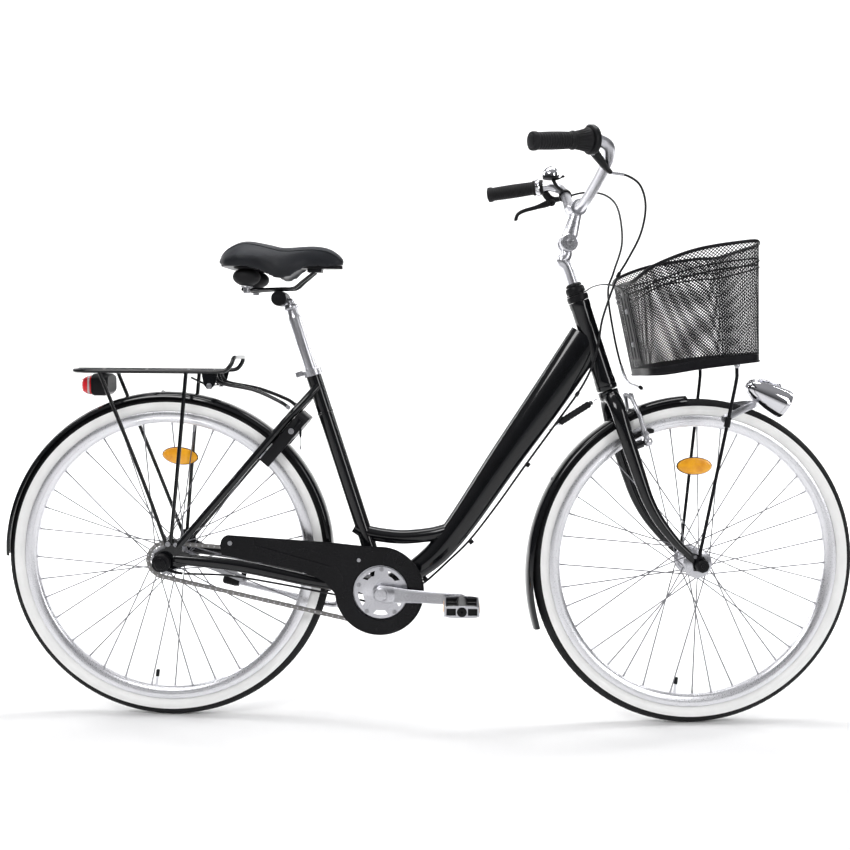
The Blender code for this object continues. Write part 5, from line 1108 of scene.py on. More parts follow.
def build_brakes():
    for side, name in ((-1.0, "right"), (1.0, "left")):
        root = at(BRAKE_PIVOT.x, side * 0.04, BRAKE_PIVOT.z)
        face = root + HEAD_SQUARE * 0.0116
        inward = ACROSS * -side
        piece = Piece(f"brake_arm_{name}_casting", f"brake_arm_{name}", ALLOY, RUBBER, STEEL,
            front=True)
        piece.turned(root, HEAD_SQUARE, [(0.0062, 0.0056), (0.0095, 0.0056), (0.0098, 0.007),
            (0.0098, 0.016), (0.0088, 0.0176), (0.0062, 0.0176)], 40, True)
        top = face + HEAD_AXIS * 0.1 + inward * 0.019
        piece.tube([face + HEAD_AXIS * 0.004, face + HEAD_AXIS * 0.03 - inward * 0.001,
            face + HEAD_AXIS * 0.064 - inward * 0.0005, top, top + HEAD_AXIS * 0.004 + inward * 0.001],
            [(0.0075, 0.0058), (0.007, 0.0052), (0.0056, 0.0044), (0.0052, 0.0042), (0.003, 0.0026)],
            20, ACROSS, 5)
        pad = face + HEAD_AXIS * 0.018 + HEAD_SQUARE * 0.0005 + inward * 0.02
        piece.slot = 2
        piece.tube([face + HEAD_AXIS * 0.018 - inward * 0.0105, pad], 0.003, 16)
        piece.turned(face + HEAD_AXIS * 0.018 - inward * 0.006, -inward,
            [(0.0058, -0.001), (0.0058, 0.004), (0.004, 0.0045), (0.004, 0.0075)], 6)
        piece.turned(face + HEAD_AXIS * 0.018 + inward * 0.006, inward,
            [(0.0062, 0.0), (0.0066, 0.002), (0.005, 0.004)], 24)
        piece.turned(root + HEAD_SQUARE * 0.0178, HEAD_SQUARE, [(0.006, -0.0012), (0.006, 0.0022),
            (0.005, 0.003), (0.0028, 0.003), (0.0026, 0.001)], 24)
        piece.turned(top, HEAD_SQUARE, [(0.005, -0.0052), (0.0054, -0.0046), (0.0054, 0.0046),
            (0.005, 0.0056)], 24)
        spring = [root + HEAD_SQUARE * 0.004 + ACROSS * side * 0.0085,
            root + HEAD_AXIS * 0.03 + ACROSS * side * 0.012 + HEAD_SQUARE * 0.006,
            root + HEAD_AXIS * 0.066 + ACROSS * side * 0.006 + HEAD_SQUARE * 0.007]
        piece.tube(spring, 0.0009, 8, spans=6)
        piece.slot = 1
        ends = [pad - HEAD_SQUARE * 0.024 - HEAD_AXIS * 0.004,
            pad - HEAD_SQUARE * 0.022 - HEAD_AXIS * 0.0037,
            pad - HEAD_SQUARE * 0.008 - HEAD_AXIS * 0.001, pad + HEAD_SQUARE * 0.008,
            pad + HEAD_SQUARE * 0.022 - HEAD_AXIS * 0.003,
            pad + HEAD_SQUARE * 0.024 - HEAD_AXIS * 0.0035]
        piece.tube(ends, [(0.003, 0.0032), (0.005, 0.0048), (0.0052, 0.005), (0.0052, 0.005),
            (0.005, 0.0048), (0.003, 0.0032)], 20, ACROSS)
        piece.done(f"brake_arm_{name}", slot="alloy", bevel=0.0002)


# ---- basket -------------------------------------------------------------------------------
def basket_rings():
    low = [(1.009, 0.0, 0.75), (1.009, 0.07, 0.75), (1.034, 0.11, 0.7525), (1.095, 0.13, 0.7635),
        (1.195, 0.128, 0.7765), (1.22, 0.112, 0.779), (1.227, 0.08, 0.781), (1.2275, 0.0, 0.781)]
    high = [(0.968, 0.0, 0.941), (0.968, 0.075, 0.941), (0.992, 0.145, 0.966), (1.07, 0.168, 0.996),
        (1.175, 0.166, 1.014), (1.202, 0.145, 1.0135), (1.21, 0.1, 1.012), (1.2105, 0.0, 1.012)]
    return low, high


def even_half(points, count):
    """Evenly spaced points along a rounded half outline, from the back's middle to the front's."""
    curve = smooth_path(points, 12)
    lengths = [(b - a).length for a, b in zip(curve, curve[1:])]
    total = sum(lengths)
    spaced = []
    walked = 0.0
    index = 0
    for k in range(count + 1):
        goal = total * k / count
        while index < len(lengths) - 1 and walked + lengths[index] < goal:
            walked += lengths[index]
            index += 1
        share = min((goal - walked) / lengths[index], 1.0)
        spaced.append(curve[index].lerp(curve[index + 1], share))
    return spaced


def full_ring(points, count):
    half = even_half(points, count)
    return half + mirror(reversed(half[1:-1]))


def build_basket():
    """A basket of expanded mesh with a solid band at the bottom and a rolled rim."""
    low_half, high_half = basket_rings()
    count = 68
    low = full_ring(low_half, count)
    high = full_ring(high_half, count)
    around_count = len(low)

    mesh_piece = Piece("basket_mesh", "steering", WIRE, front=True)
    rows = 66
    band = 0.065
    points = {}
    for row in range(rows + 1):
        for k in range(around_count):
            shift = 0.5 if row % 2 else 0.0
            share = band + (1.0 - band) * row / rows
            j = (k + 1) % around_count
            a = low[k].lerp(high[k], share)
            b = low[j].lerp(high[j], share)
            points[row, k] = mesh_piece.bm.verts.new(a.lerp(b, shift))
    for row in range(rows):
        for k in range(around_count):
            if row % 2 == 0:
                near = (k, (k - 1) % around_count)
            else:
                near = (k, (k + 1) % around_count)
            for other in near:
                mesh_piece.bm.edges.new((points[row, k], points[row + 1, other]))
    lines = [tuple(vert.co.copy() for vert in edge.verts) for edge in mesh_piece.bm.edges]
    bmesh.ops.delete(mesh_piece.bm, geom=list(mesh_piece.bm.verts), context="VERTS")
    middle_x = 1.105

    def outward(p):
        return at(p.x - middle_x, p.y, 0.0).normalized()

    thick = 0.00055
    wide = 0.00095
    for a, b in lines:
        run = (b - a).normalized()
        middle = (a + b) / 2.0
        out = outward(middle)
        out = (out - run * out.dot(run)).normalized()
        side = run.cross(out)
        rings = []
        for end in (a, b):
            rings.append(mesh_piece.ring([end + out * thick, end + side * wide, end - out * thick,
                end - side * wide]))
        mesh_piece.bridge(rings[0], rings[1])
    mesh_piece.done(slot="black_paint")
    floor_piece = Piece("basket_floor_mesh", "steering", WIRE, front=True)
    step = 0.01
    back = 1.009
    back_height = 0.75
    rise = 0.031
    reach = 0.218

    def inside(x):
        best = 0.0
        for a, b in zip(low[:count + 1], low[1:count + 1]):
            if min(a.x, b.x) <= x <= max(a.x, b.x) and abs(a.x - b.x) > 1e-6:
                share = (x - a.x) / (b.x - a.x)
                best = max(best, a.y + (b.y - a.y) * share)
        return best

    def floor_z(x):
        return back_height + (x - back) * rise / reach + 0.001

    start = 1.01
    stride = 0.0018
    slant = 0.62
    for way in (-1.0, 1.0):
        for k in range(-40, 60):
            run = []
            for part in range(120):
                x = start + part * stride
                y = way * (x - start) * slant + k * step - 0.085
                if abs(y) < inside(x) - 0.001:
                    run.append(at(x, y, floor_z(x)))
            if len(run) > 1:
                floor_piece.tube([run[0], run[-1]], [(0.0006, 0.0006)] * 2, 4)
    floor_piece.done(slot="black_paint")
    solid = Piece("basket_rim_and_band", "steering", WIRE, STEEL, front=True)

    def loop(share, radius, sides=14, out=0.0):
        ring = [a.lerp(b, share) for a, b in zip(low, high)]
        ring = [p + outward(p) * out for p in ring]
        solid.tube(ring + ring[:2], radius, sides)

    loop(1.0, 0.0036, 16)
    loop(0.0, 0.0026, 12)
    loop(band, 0.0016, 10)
    half_sheet = 0.0008
    outer = [a + outward(a) * half_sheet for a in low]
    upper = [a.lerp(b, band) + outward(a) * half_sheet for a, b in zip(low, high)]
    lower_ring = solid.ring(outer)
    upper_ring = solid.ring(upper)
    solid.bridge(lower_ring, upper_ring)
    inner_low = solid.ring([p - outward(p) * 2.0 * half_sheet for p in outer])
    inner_up = solid.ring([p - outward(p) * 2.0 * half_sheet for p in upper])
    solid.bridge(inner_low, inner_up)
    solid.bridge(lower_ring, inner_low)
    solid.bridge(upper_ring, inner_up)
    for share in (0.8, 0.855):
        loop(share, 0.0015, 10, 0.001)
    for side in (-1.0, 1.0):
        strut = [(1.174, 0.112, 0.777), (1.1755, 0.1118, 0.756), (1.174, 0.111, 0.733),
            (1.16, 0.098, 0.635), (1.127, 0.066, 0.405), (1.1235, 0.063, 0.385), (1.123, 0.0625, 0.37)]
        solid.tube(on_side(strut, side), [0.0036, 0.0036, 0.0036, 0.0036, 0.0036, 0.0038, 0.0034], 18,
            spans=6)
        solid.turned((1.125, side * 0.061, 0.361), ACROSS * side, [(0.0052, -0.005), (0.0088, -0.0045),
            (0.0088, 0.003), (0.0052, 0.0035)], 28, True)
    solid.slot = 1
    for side in (-1.0, 1.0):
        solid.turned((1.174, side * 0.115, 0.77), ACROSS * side, [(0.0058, -0.001), (0.006, 0.002),
            (0.0038, 0.0032)], 24)
    solid.done("basket", slot="black_paint")


def build_basket_bracket():
    piece = Piece("basket_bracket_plate", "steering", PLASTIC, STEEL, front=True)
    low = at(0.9996, 0.0, 0.779)
    high = at(0.9692, 0.0, 0.918)
    run = (high - low).normalized()
    face = at(run.z, 0.0, -run.x)
    length = (high - low).length
    turn = Matrix(((run.x, 0.0, face.x, 0.0), (0.0, 1.0, 0.0, 0.0), (run.z, 0.0, face.z, 0.0),
        (0.0, 0.0, 0.0, 1.0)))
    piece.block((low + high) / 2.0, (length, 0.066, 0.0016), turn)
    for y in (-0.022, 0.0, 0.022):
        piece.block((low + high) / 2.0 - face * 0.0012 + ACROSS * y, (length * 0.94, 0.004, 0.0016),
            turn)
    strap = [head_point(0.0235, 0.019), at(0.903, 0.0, 0.935), at(0.93, 0.0, 0.94),
        at(0.96, 0.0, 0.932), at(0.9705, 0.0, 0.912), low.lerp(high, 0.88) - face * 0.0004]
    piece.tube(strap, [(0.012, 0.0014)] * 6, 24, ACROSS, 6)
    piece.turned(HEAD, HEAD_AXIS, [(0.0164, 0.022), (0.0214, 0.0222), (0.0214, 0.0248),
        (0.0164, 0.025)], 48, True)
    piece.slot = 1
    for place in (0.25, 0.75):
        piece.bolt(low.lerp(high, place) - face * 0.0008, -face, 0.005, 0.003)
    piece.done("basket_bracket", slot="black_plastic", bevel=0.0004)


# ---- headlamp -----------------------------------------------------------------------------
def build_headlamp():
    aim = radians(-27.0)
    out = at(cos(aim), 0.0, sin(aim))
    face = at(1.3245, 0.0, 0.687)
    shell = Piece("headlamp_bullet", "steering", CHROME, STEEL, front=True)
    shell.turned(face, out, [(0.0286, -0.002), (0.03, 0.0), (0.0316, -0.0006), (0.0322, -0.003),
        (0.0318, -0.012), (0.031, -0.02), (0.029, -0.038), (0.0255, -0.056), (0.0205, -0.073),
        (0.015, -0.086), (0.0095, -0.0925), (0.003, -0.095)], 96)
    shell.turned(face, out, [(0.0314, -0.0098), (0.0324, -0.0092), (0.0324, -0.0072),
        (0.0314, -0.0066)], 96, True)
    hood = [(1.248, 0.0, 0.734), (1.264, 0.0, 0.7405), (1.28, 0.0, 0.7385), (1.298, 0.0, 0.733),
        (1.315, 0.0, 0.727)]
    shell.tube(hood, [(0.008, 0.0034), (0.0085, 0.0034), (0.008, 0.0028), (0.0075, 0.0024),
        (0.005, 0.0016)], 28, ACROSS, 6)
    shell.turned((1.252, 0.0, 0.733), ACROSS, even((0.003, -0.009), (0.0078, -0.0086),
        (0.009, -0.0066)), 40)
    shell.turned((1.311, 0.0, 0.729), at(0.35, 0.0, 0.94), [(0.005, -0.002), (0.0052, 0.0014),
        (0.004, 0.0034), (0.002, 0.004)], 28)
    leg = [(1.2562, 0.0, 0.6966), (1.25, 0.0, 0.703), (1.2462, 0.0, 0.71), (1.244, 0.0, 0.72),
        (1.2455, 0.0, 0.729)]
    shell.tube(leg, [(0.0065, 0.0013)] * 5, 24, ACROSS, 5)
    shell.slot = 1
    shell.bolt((1.252, -0.0088, 0.733), -ACROSS, 0.0046, 0.002)
    shell.turned(face - out * 0.09, -out, [(0.006, 0.0), (0.006, 0.005), (0.0042, 0.006),
        (0.003, 0.0062)], 24)
    shell.done("headlamp_shell", slot="chrome", bevel=0.0003)
    lens = Piece("headlamp_glass", "steering", CLEAR, front=True)
    profile = [(0.0284, -0.003)]
    for k in range(8):
        turn = radians(90.0 * k / 8)
        profile.append((0.0284 * cos(turn), 0.0035 * sin(turn) - 0.0002))
    lens.turned(face, out, profile, 72)
    lens.done("headlamp_lens", slot="clear_lens")
    bracket = Piece("headlamp_arms", "steering", ALLOY, STEEL, PLASTIC, front=True)
    for side in (-1.0, 1.0):
        strip = [(1.155, 0.089, 0.658), (1.175, 0.083, 0.666), (1.195, 0.072, 0.674),
            (1.222, 0.052, 0.682), (1.244, 0.03, 0.687), (1.2535, 0.015, 0.688), (1.256, 0.0, 0.688)]
        bracket.tube(on_side(strip, side), [(0.0078, 0.0011)] * 7, 24, UP, 6)
        bracket.slot = 1
        bracket.bolt((1.158, side * 0.09, 0.659), at(0.3, side, 0.0), 0.0042, 0.003)
        bracket.slot = 0
    bracket.block((1.256, 0.0, 0.689), (0.01, 0.011, 0.014))
    bracket.slot = 2
    for side in (-1.0, 1.0):
        here = at(1.161, side * 0.099, 0.643)
        run = at(0.014, side * 0.0125, 0.098).normalized()
        bracket.turned(here, run, [(0.0044, 0.0), (0.0062, 0.0006), (0.0062, 0.021), (0.0044, 0.0216)],
            28, True)
    bracket.done("headlamp_bracket", slot="alloy", bevel=0.0003)


# ---- stem, bar and controls ---------------------------------------------------------------
GRIP_FRONT = at(0.813, 0.256, 1.183)
GRIP_RUN = (at(0.718, 0.2885, 1.172) - GRIP_FRONT).normalized()
BAR_CENTRE = at(0.8665, 0.0, 1.0985)


def grip_axis(side):
    return at(GRIP_FRONT.x, GRIP_FRONT.y * side, GRIP_FRONT.z), at(GRIP_RUN.x, GRIP_RUN.y * side,
        GRIP_RUN.z)


def build_stem():
    quill = Piece("stem_column", "steering", ALLOY, PLASTIC, front=True)
    path = [head_point(-0.078), head_point(-0.02), head_point(0.045), head_point(0.07),
        head_point(0.088, -0.0015), head_point(0.1, -0.007), STEM_PIVOT + at(-0.0028, 0.0, -0.026),
        STEM_PIVOT + at(-0.001, 0.0, -0.007)]
    quill.tube(path, [(0.011, 0.011)] * 4 + [(0.0112, 0.0114), (0.011, 0.012), (0.01, 0.012),
        (0.0074, 0.0105)], 40, ACROSS, 6)
    quill.turned(STEM_PIVOT, ACROSS, even((0.0058, -0.008), (0.016, -0.008), (0.017, -0.007)), 48, True)
    quill.slot = 1
    quill.turned(HEAD, HEAD_AXIS, [(0.0114, 0.0402), (0.017, 0.0402), (0.0166, 0.044), (0.0138, 0.047),
        (0.0114, 0.0478)], 40, True)
    quill.done("stem_quill", slot="alloy", bevel=0.0004)
    head = Piece("stem_head_forging", "handlebar", ALLOY, STEEL, front=True)
    run = (BAR_CENTRE - STEM_PIVOT).normalized()
    rise = run.cross(ACROSS)
    for side in (-1.0, 1.0):
        head.turned(STEM_PIVOT, ACROSS, [(0.0056, side * 0.0086), (0.0178, side * 0.0086),
            (0.0188, side * 0.01), (0.0188, side * 0.019), (0.0165, side * 0.0212),
            (0.0056, side * 0.0215)], 56, True)
        arm = [STEM_PIVOT + ACROSS * side * 0.014, STEM_PIVOT + run * 0.022 + ACROSS * side * 0.0145,
            STEM_PIVOT + run * 0.042 + ACROSS * side * 0.013,
            BAR_CENTRE - run * 0.015 + ACROSS * side * 0.011]
        head.tube(arm, [(0.006, 0.015), (0.0055, 0.0135), (0.0055, 0.012), (0.006, 0.011)], 28, ACROSS,
            5)
    head.tube([STEM_PIVOT + run * 0.026, BAR_CENTRE - run * 0.0145], [(0.0125, 0.007), (0.015, 0.0085)],
        28, ACROSS)
    head.turned(BAR_CENTRE, ACROSS, even((0.013, -0.019), (0.0165, -0.019), (0.0176, -0.0175)), 64,
        True)
    head.tube([BAR_CENTRE + rise * 0.0165 - run * 0.006, BAR_CENTRE + rise * 0.0235 - run * 0.004],
        [(0.015, 0.006), (0.0135, 0.0048)], 24, ACROSS)
    head.slot = 1
    head.bolt(STEM_PIVOT - ACROSS * 0.0214, -ACROSS, 0.007, 0.0044)
    head.bolt(STEM_PIVOT + ACROSS * 0.0214, ACROSS, 0.007, 0.0044)
    for shift in (-0.0085, 0.0085):
        head.bolt(BAR_CENTRE + run * 0.0172 + ACROSS * shift, run, 0.0036, 0.0026)
    head.done("stem_head", slot="alloy", bevel=0.0005)


def build_handlebar():
    half = [BAR_CENTRE, at(0.8665, 0.03, 1.0985), at(0.868, 0.075, 1.103), at(0.875, 0.13, 1.126),
        at(0.88, 0.175, 1.148), at(0.881, 0.205, 1.164), at(0.874, 0.23, 1.179),
        GRIP_FRONT - GRIP_RUN * 0.042]
    curve = smooth_path(half, 10)
    curve += [GRIP_FRONT - GRIP_RUN * 0.03, GRIP_FRONT, GRIP_FRONT + GRIP_RUN * 0.097]
    path = mirror(reversed(curve[1:])) + curve
    sizes = []
    for point in path:
        middle = max(0.0, min(1.0, (0.046 - abs(point.y)) / 0.012))
        sizes.append(0.0111 + 0.0014 * middle * middle * (3.0 - 2.0 * middle))
    bar = Piece("handlebar_tube", "handlebar", ALLOY, front=True)
    bar.tube(path, sizes, 40)
    bar.done("handlebar", slot="alloy")


def build_grips():
    for side, name, start in ((1.0, "left", -0.011), (-1.0, "right", 0.012)):
        front, run = grip_axis(side)
        end = 0.103
        piece = Piece(f"grip_{name}_rubber", "handlebar", RUBBER, PLASTIC, front=True)
        profile = [(0.0113, start), (0.0168, start), (0.0176, start + 0.0015), (0.0176, start + 0.005),
            (0.0164, start + 0.0062)]
        rib = start + 0.0085
        while rib < end - 0.0155:
            swell = 0.0153 + 0.0012 * sin(pi * (rib - start) / (end - start))
            profile += [(swell - 0.0009, rib), (swell, rib + 0.0009), (swell, rib + 0.0029),
                (swell - 0.0009, rib + 0.0038)]
            rib += 0.0053
        profile += [(0.016, end - 0.012), (0.0172, end - 0.0105), (0.0176, end - 0.005),
            (0.0168, end - 0.001), (0.014, end)]
        piece.turned(front, run, profile, 56)
        piece.slot = 1
        piece.turned(front + run * (end - 0.0012), run, [(0.0128, 0.0), (0.012, 0.002),
            (0.006, 0.0028)], 40)
        piece.done(f"grip_{name}", slot="black_rubber")


def build_shifter():
    front, run = grip_axis(-1.0)
    piece = Piece("twist_shifter_grip", "twist_shifter", RUBBER, front=True)
    hint = (UP - run * UP.dot(run)).normalized()
    other = run.cross(hint)
    ribs = 22
    rings = []
    for along, radius, depth in ((0.0112, 0.0135, 0.0), (0.011, 0.0158, 0.0), (0.0095, 0.0164, 0.0),
            (0.008, 0.0172, 0.0009), (0.001, 0.0182, 0.0012), (-0.007, 0.02, 0.0012),
            (-0.0125, 0.0214, 0.0008), (-0.014, 0.0222, 0.0), (-0.0172, 0.0226, 0.0),
            (-0.0188, 0.0222, 0.0), (-0.0188, 0.0135, 0.0)):
        ring = []
        for k in range(ribs * 6):
            turn = 2.0 * pi * k / (ribs * 6)
            wave = max(0.0, cos(turn * ribs)) ** 0.6
            here = radius - depth * wave
            ring.append(front + run * along + (hint * cos(turn) + other * sin(turn)) * here)
        rings.append(piece.ring(ring))
    for a, b in zip(rings, rings[1:]):
        piece.bridge(a, b)
    piece.bridge(rings[-1], rings[0])
    piece.done("twist_shifter_sleeve", slot="black_rubber")
    body = Piece("twist_shifter_body", "handlebar", PLASTIC, STEEL, CLEAR, front=True)
    body.turned(front, run, [(0.0114, -0.0196), (0.0245, -0.0196), (0.0268, -0.0206), (0.0273, -0.023),
        (0.0271, -0.03), (0.0255, -0.0326), (0.021, -0.0338), (0.0114, -0.034)], 64, True)
    snout = [front - run * 0.027 + at(0.006, 0.01, -0.019), at(0.868, -0.212, 1.15),
        at(0.879, -0.199, 1.143), at(0.889, -0.189, 1.1385)]
    body.tube(snout, [(0.0095, 0.009), (0.0074, 0.0072), (0.0056, 0.0056), (0.0046, 0.0046)], 28,
        spans=6)
    window = front - run * 0.0262 + hint * 0.0262
    body.slot = 2
    body.tube([window - run * 0.005, window + run * 0.005], [(0.008, 0.0026)] * 2, 24, other)
    body.slot = 1
    body.bolt(front - run * 0.0272 - hint * 0.0262, -hint, 0.003, 0.002)
    body.done("twist_shifter_housing", slot="black_plastic", bevel=0.0004)


def build_lever():
    front, run = grip_axis(1.0)
    ring_at = front - run * 0.0225
    mount = Piece("brake_lever_clamp", "handlebar", PLASTIC, STEEL, CHROME, front=True)
    mount.turned(ring_at, run, even((0.0114, -0.0062), (0.016, -0.0062), (0.017, -0.005)), 48, True)
    toward = (LEVER_PIVOT - ring_at).normalized()
    mount.tube([ring_at + toward * 0.013, ring_at.lerp(LEVER_PIVOT, 0.75),
        LEVER_PIVOT + at(0.012, 0.002, 0.004)], [(0.0085, 0.008), (0.0088, 0.0066), (0.007, 0.006)], 28,
        run, 5)
    barrel = at(0.896, 0.256, 1.166)
    mount.tube([LEVER_PIVOT + at(0.004, 0.0, 0.004), LEVER_PIVOT.lerp(barrel, 0.55),
        barrel - at(0.01, 0.0, 0.0035)], [(0.0078, 0.007), (0.0064, 0.006), (0.0056, 0.0056)], 28,
        spans=5)
    for side in (-1.0, 1.0):
        mount.turned(LEVER_PIVOT, LEVER_AXIS, [(0.0042, side * 0.005), (0.0088, side * 0.005),
            (0.009, side * 0.006), (0.0084, side * 0.0078), (0.0042, side * 0.008)], 36, True)
    mount.slot = 2
    mount.turned(front - run * 0.0135, run, [(0.0113, -0.0085), (0.0192, -0.0082), (0.0204, -0.006),
        (0.02, -0.0015), (0.0184, 0.002), (0.0113, 0.0022)], 64, True)
    mount.slot = 1
    mount.bolt(LEVER_PIVOT + LEVER_AXIS * 0.008, LEVER_AXIS, 0.0036, 0.002)
    along = (barrel - LEVER_PIVOT).normalized()
    mount.turned(barrel - along * 0.011, along, [(0.003, 0.0), (0.0052, 0.0004), (0.0052, 0.006),
        (0.004, 0.0068), (0.0036, 0.013), (0.0026, 0.0136)], 24)
    mount.done("brake_lever_mount", slot="black_plastic", bevel=0.0004)
    blade = Piece("brake_lever_blade", "brake_lever", PLASTIC, front=True)
    path = [LEVER_PIVOT + at(0.004, -0.001, 0.002), LEVER_PIVOT + at(-0.012, 0.005, -0.005),
        at(0.828, 0.27, 1.142), at(0.802, 0.286, 1.136), at(0.789, 0.296, 1.129),
        at(0.785, 0.301, 1.118), at(0.7855, 0.302, 1.1145)]
    blade.tube(path, [(0.0046, 0.0078), (0.0044, 0.0084), (0.0062, 0.005), (0.0072, 0.004),
        (0.007, 0.0042), (0.006, 0.0045), (0.003, 0.003)], 28, LEVER_AXIS, 6)
    blade.done("brake_lever", slot="black_plastic")


def build_bell():
    top = at(0.848, 0.2, 1.195)
    piece = Piece("bell_dome", "handlebar", CHROME, PLASTIC, STEEL, front=True)
    dome = [(0.0198, 0.0056)]
    for k in range(11):
        turn = radians(8.0 + 80.0 * k / 10)
        dome.append((0.0204 * cos(turn) ** 0.85, 0.007 + 0.0215 * sin(turn)))
    dome.append((0.002, 0.0288))
    piece.turned(top, UP, dome, 72)
    piece.slot = 1
    piece.turned(top, UP, [(0.0178, 0.0006), (0.0186, 0.0012), (0.0186, 0.0044), (0.016, 0.0054),
        (0.008, 0.0054)], 48)
    ring_at = at(0.8805, 0.19, 1.156)
    ring_run = (at(0.881, 0.205, 1.164) - at(0.88, 0.175, 1.148)).normalized()
    piece.turned(ring_at, ring_run, even((0.0114, -0.005), (0.0142, -0.005), (0.0146, -0.004)), 40,
        True)
    piece.tube([ring_at + at(-0.006, 0.002, 0.011), ring_at.lerp(top, 0.6),
        top + at(0.004, 0.0, 0.003)], [(0.0064, 0.004), (0.0058, 0.0038), (0.0062, 0.004)], 24, ACROSS,
        5)
    piece.slot = 2
    piece.turned(top, UP, [(0.003, 0.027), (0.0036, 0.0286), (0.0034, 0.0296), (0.0012, 0.0302)], 24)
    piece.done("bell", slot="chrome")
    hammer = Piece("bell_hammer", "bell_striker", PLASTIC, front=True)
    start = top + at(0.01, -0.001, -0.0015)
    end = top + at(0.0275, -0.005, 0.006)
    hammer.tube([start, start.lerp(end, 0.5) - UP * 0.0012, end], [(0.0042, 0.0016), (0.0046, 0.0018),
        (0.0034, 0.0022)], 20, ACROSS, 5)
    hammer.turned(end, UP, [(0.002, -0.0026), (0.0038, -0.0018), (0.004, 0.0), (0.0036, 0.002),
        (0.0018, 0.003)], 20)
    hammer.done("bell_striker", slot="black_plastic")


# ---- cables -------------------------------------------------------------------------------
def turned_points(points):
    return [TURNED @ Vector(p) for p in points]


def build_cables():
    """Sleeved cables that bend between the parts they join."""
    bar_part = turned_points([(0.8915, -0.188, 1.1372), (0.9285, -0.17, 1.1353), (0.962, -0.142, 1.121),
        (0.981, -0.112, 1.085), (0.979, -0.085, 1.035), (0.959, -0.062, 0.985), (0.939, -0.05, 0.945)])
    frame_part = [(0.918, -0.042, 0.87), (0.912, -0.033, 0.825), (0.903, -0.03, 0.779),
        (0.878, -0.023, 0.722), (0.826, -0.008, 0.643), (0.764, -0.005, 0.5545), (0.703, -0.005, 0.466),
        (0.648, -0.005, 0.393), (0.606, -0.005, 0.35), (0.55, -0.005, 0.298), (0.5, -0.008, 0.268)]
    spans = 10
    route = smooth_path(bar_part + [Vector(p) for p in frame_part], spans)
    split = spans * 5
    upper = Piece("shift_cable_upper", None, CABLE, ALLOY)
    upper.tube(route[:split + 1], 0.0024, 16)
    upper.slot = 1
    upper.tube(route[:8], 0.0031, 16)
    upper = upper.done("shift_cable", slot="black_rubber")
    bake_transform(upper)
    lower = Piece("shift_cable_lower", None, CABLE, PLASTIC)
    lower.tube(route[split:], 0.0024, 16)
    lower.slot = 1
    collar = route[split + 8]
    lower.turned(collar, route[split + 9] - route[split + 7], even((0.0026, -0.006), (0.004, -0.0055)),
        20)
    lower = lower.done(slot="black_rubber")
    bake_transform(lower)
    hub = Piece("hub_cable", "frame", CABLE)
    hub.tube([(0.5, -0.008, 0.268), (0.476, -0.014, 0.26), (0.44, -0.026, 0.259), (0.4, -0.043, 0.271),
        (0.34, -0.052, 0.285), (0.24, -0.059, 0.305), (0.14, -0.0655, 0.322), (0.075, -0.072, 0.326),
        (0.048, -0.0738, 0.3265)], 0.0022, 14, spans=8)
    hub.done(slot="black_rubber")
    brake = Piece("brake_cable_run", None, CABLE, ALLOY, RUBBER)
    line = turned_points([(0.896, 0.256, 1.166), (0.94, 0.242, 1.174), (0.975, 0.195, 1.16),
        (0.99, 0.14, 1.12), (0.987, 0.09, 1.04), (0.962, 0.062, 0.972), (0.948, 0.052, 0.925),
        (0.962, 0.047, 0.83), (0.98, 0.044, 0.76), (0.99, 0.03, 0.734), (0.997, 0.0, 0.727),
        (1.001, -0.017, 0.724)])
    route = smooth_path(line, spans)
    pipe_from = 80
    brake.tube(route[:pipe_from + 2], 0.0024, 16)
    brake.slot = 1
    brake.tube(route[pipe_from:], 0.0024, 16)
    brake.tube(route[pipe_from - 2:pipe_from + 6], 0.0034, 18)
    end = line[-1]
    brake.tube([end, end + (TURNED.to_3x3() @ at(0.004, -0.02, -0.006))], 0.0009, 8)
    brake.slot = 2
    boot = [end + (TURNED.to_3x3() @ at(0.0006, -0.001 - 0.0022 * k, -0.0005 * k)) for k in range(7)]
    brake.tube(boot, [0.003, 0.004, 0.003, 0.004, 0.003, 0.004, 0.0026], 16)
    brake = brake.done("front_brake_cable", slot="black_rubber")
    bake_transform(brake)
    spring = Piece("steering_spring_sleeve", None, RUBBER, CHROME)
    tail = at(0.8125, 0.0, 0.631)
    nose = TURNED @ at(0.915, 0.0, 0.698)
    steps = 40
    path = [tail.lerp(nose, k / steps) for k in range(steps + 1)]
    sizes = []
    for k in range(steps + 1):
        share = k / steps
        ribbed = 0.0072 + 0.0006 * sin(share * 160.0)
        ease = min(max((share - 0.2) / 0.05, 0.0), 1.0) * min(max((0.88 - share) / 0.05, 0.0), 1.0)
        sizes.append(0.0012 + (ribbed - 0.0012) * ease)
    spring.tube(path[8:36], sizes[8:36], 24)
    spring.slot = 1
    spring.tube([path[0], path[4] - UP * 0.001, path[10]], 0.0014, 12, spans=5)
    spring.tube([path[34], path[38] + UP * 0.001, path[40]], 0.0014, 12, spans=5)
    spring.turned(path[8], nose - tail, [(0.003, -0.003), (0.005, -0.001), (0.0066, 0.002)], 24)
    spring.turned(path[35], tail - nose, [(0.003, -0.003), (0.005, -0.001), (0.0066, 0.002)], 24)
    spring = spring.done("steering_spring", slot="black_rubber")
    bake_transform(spring)


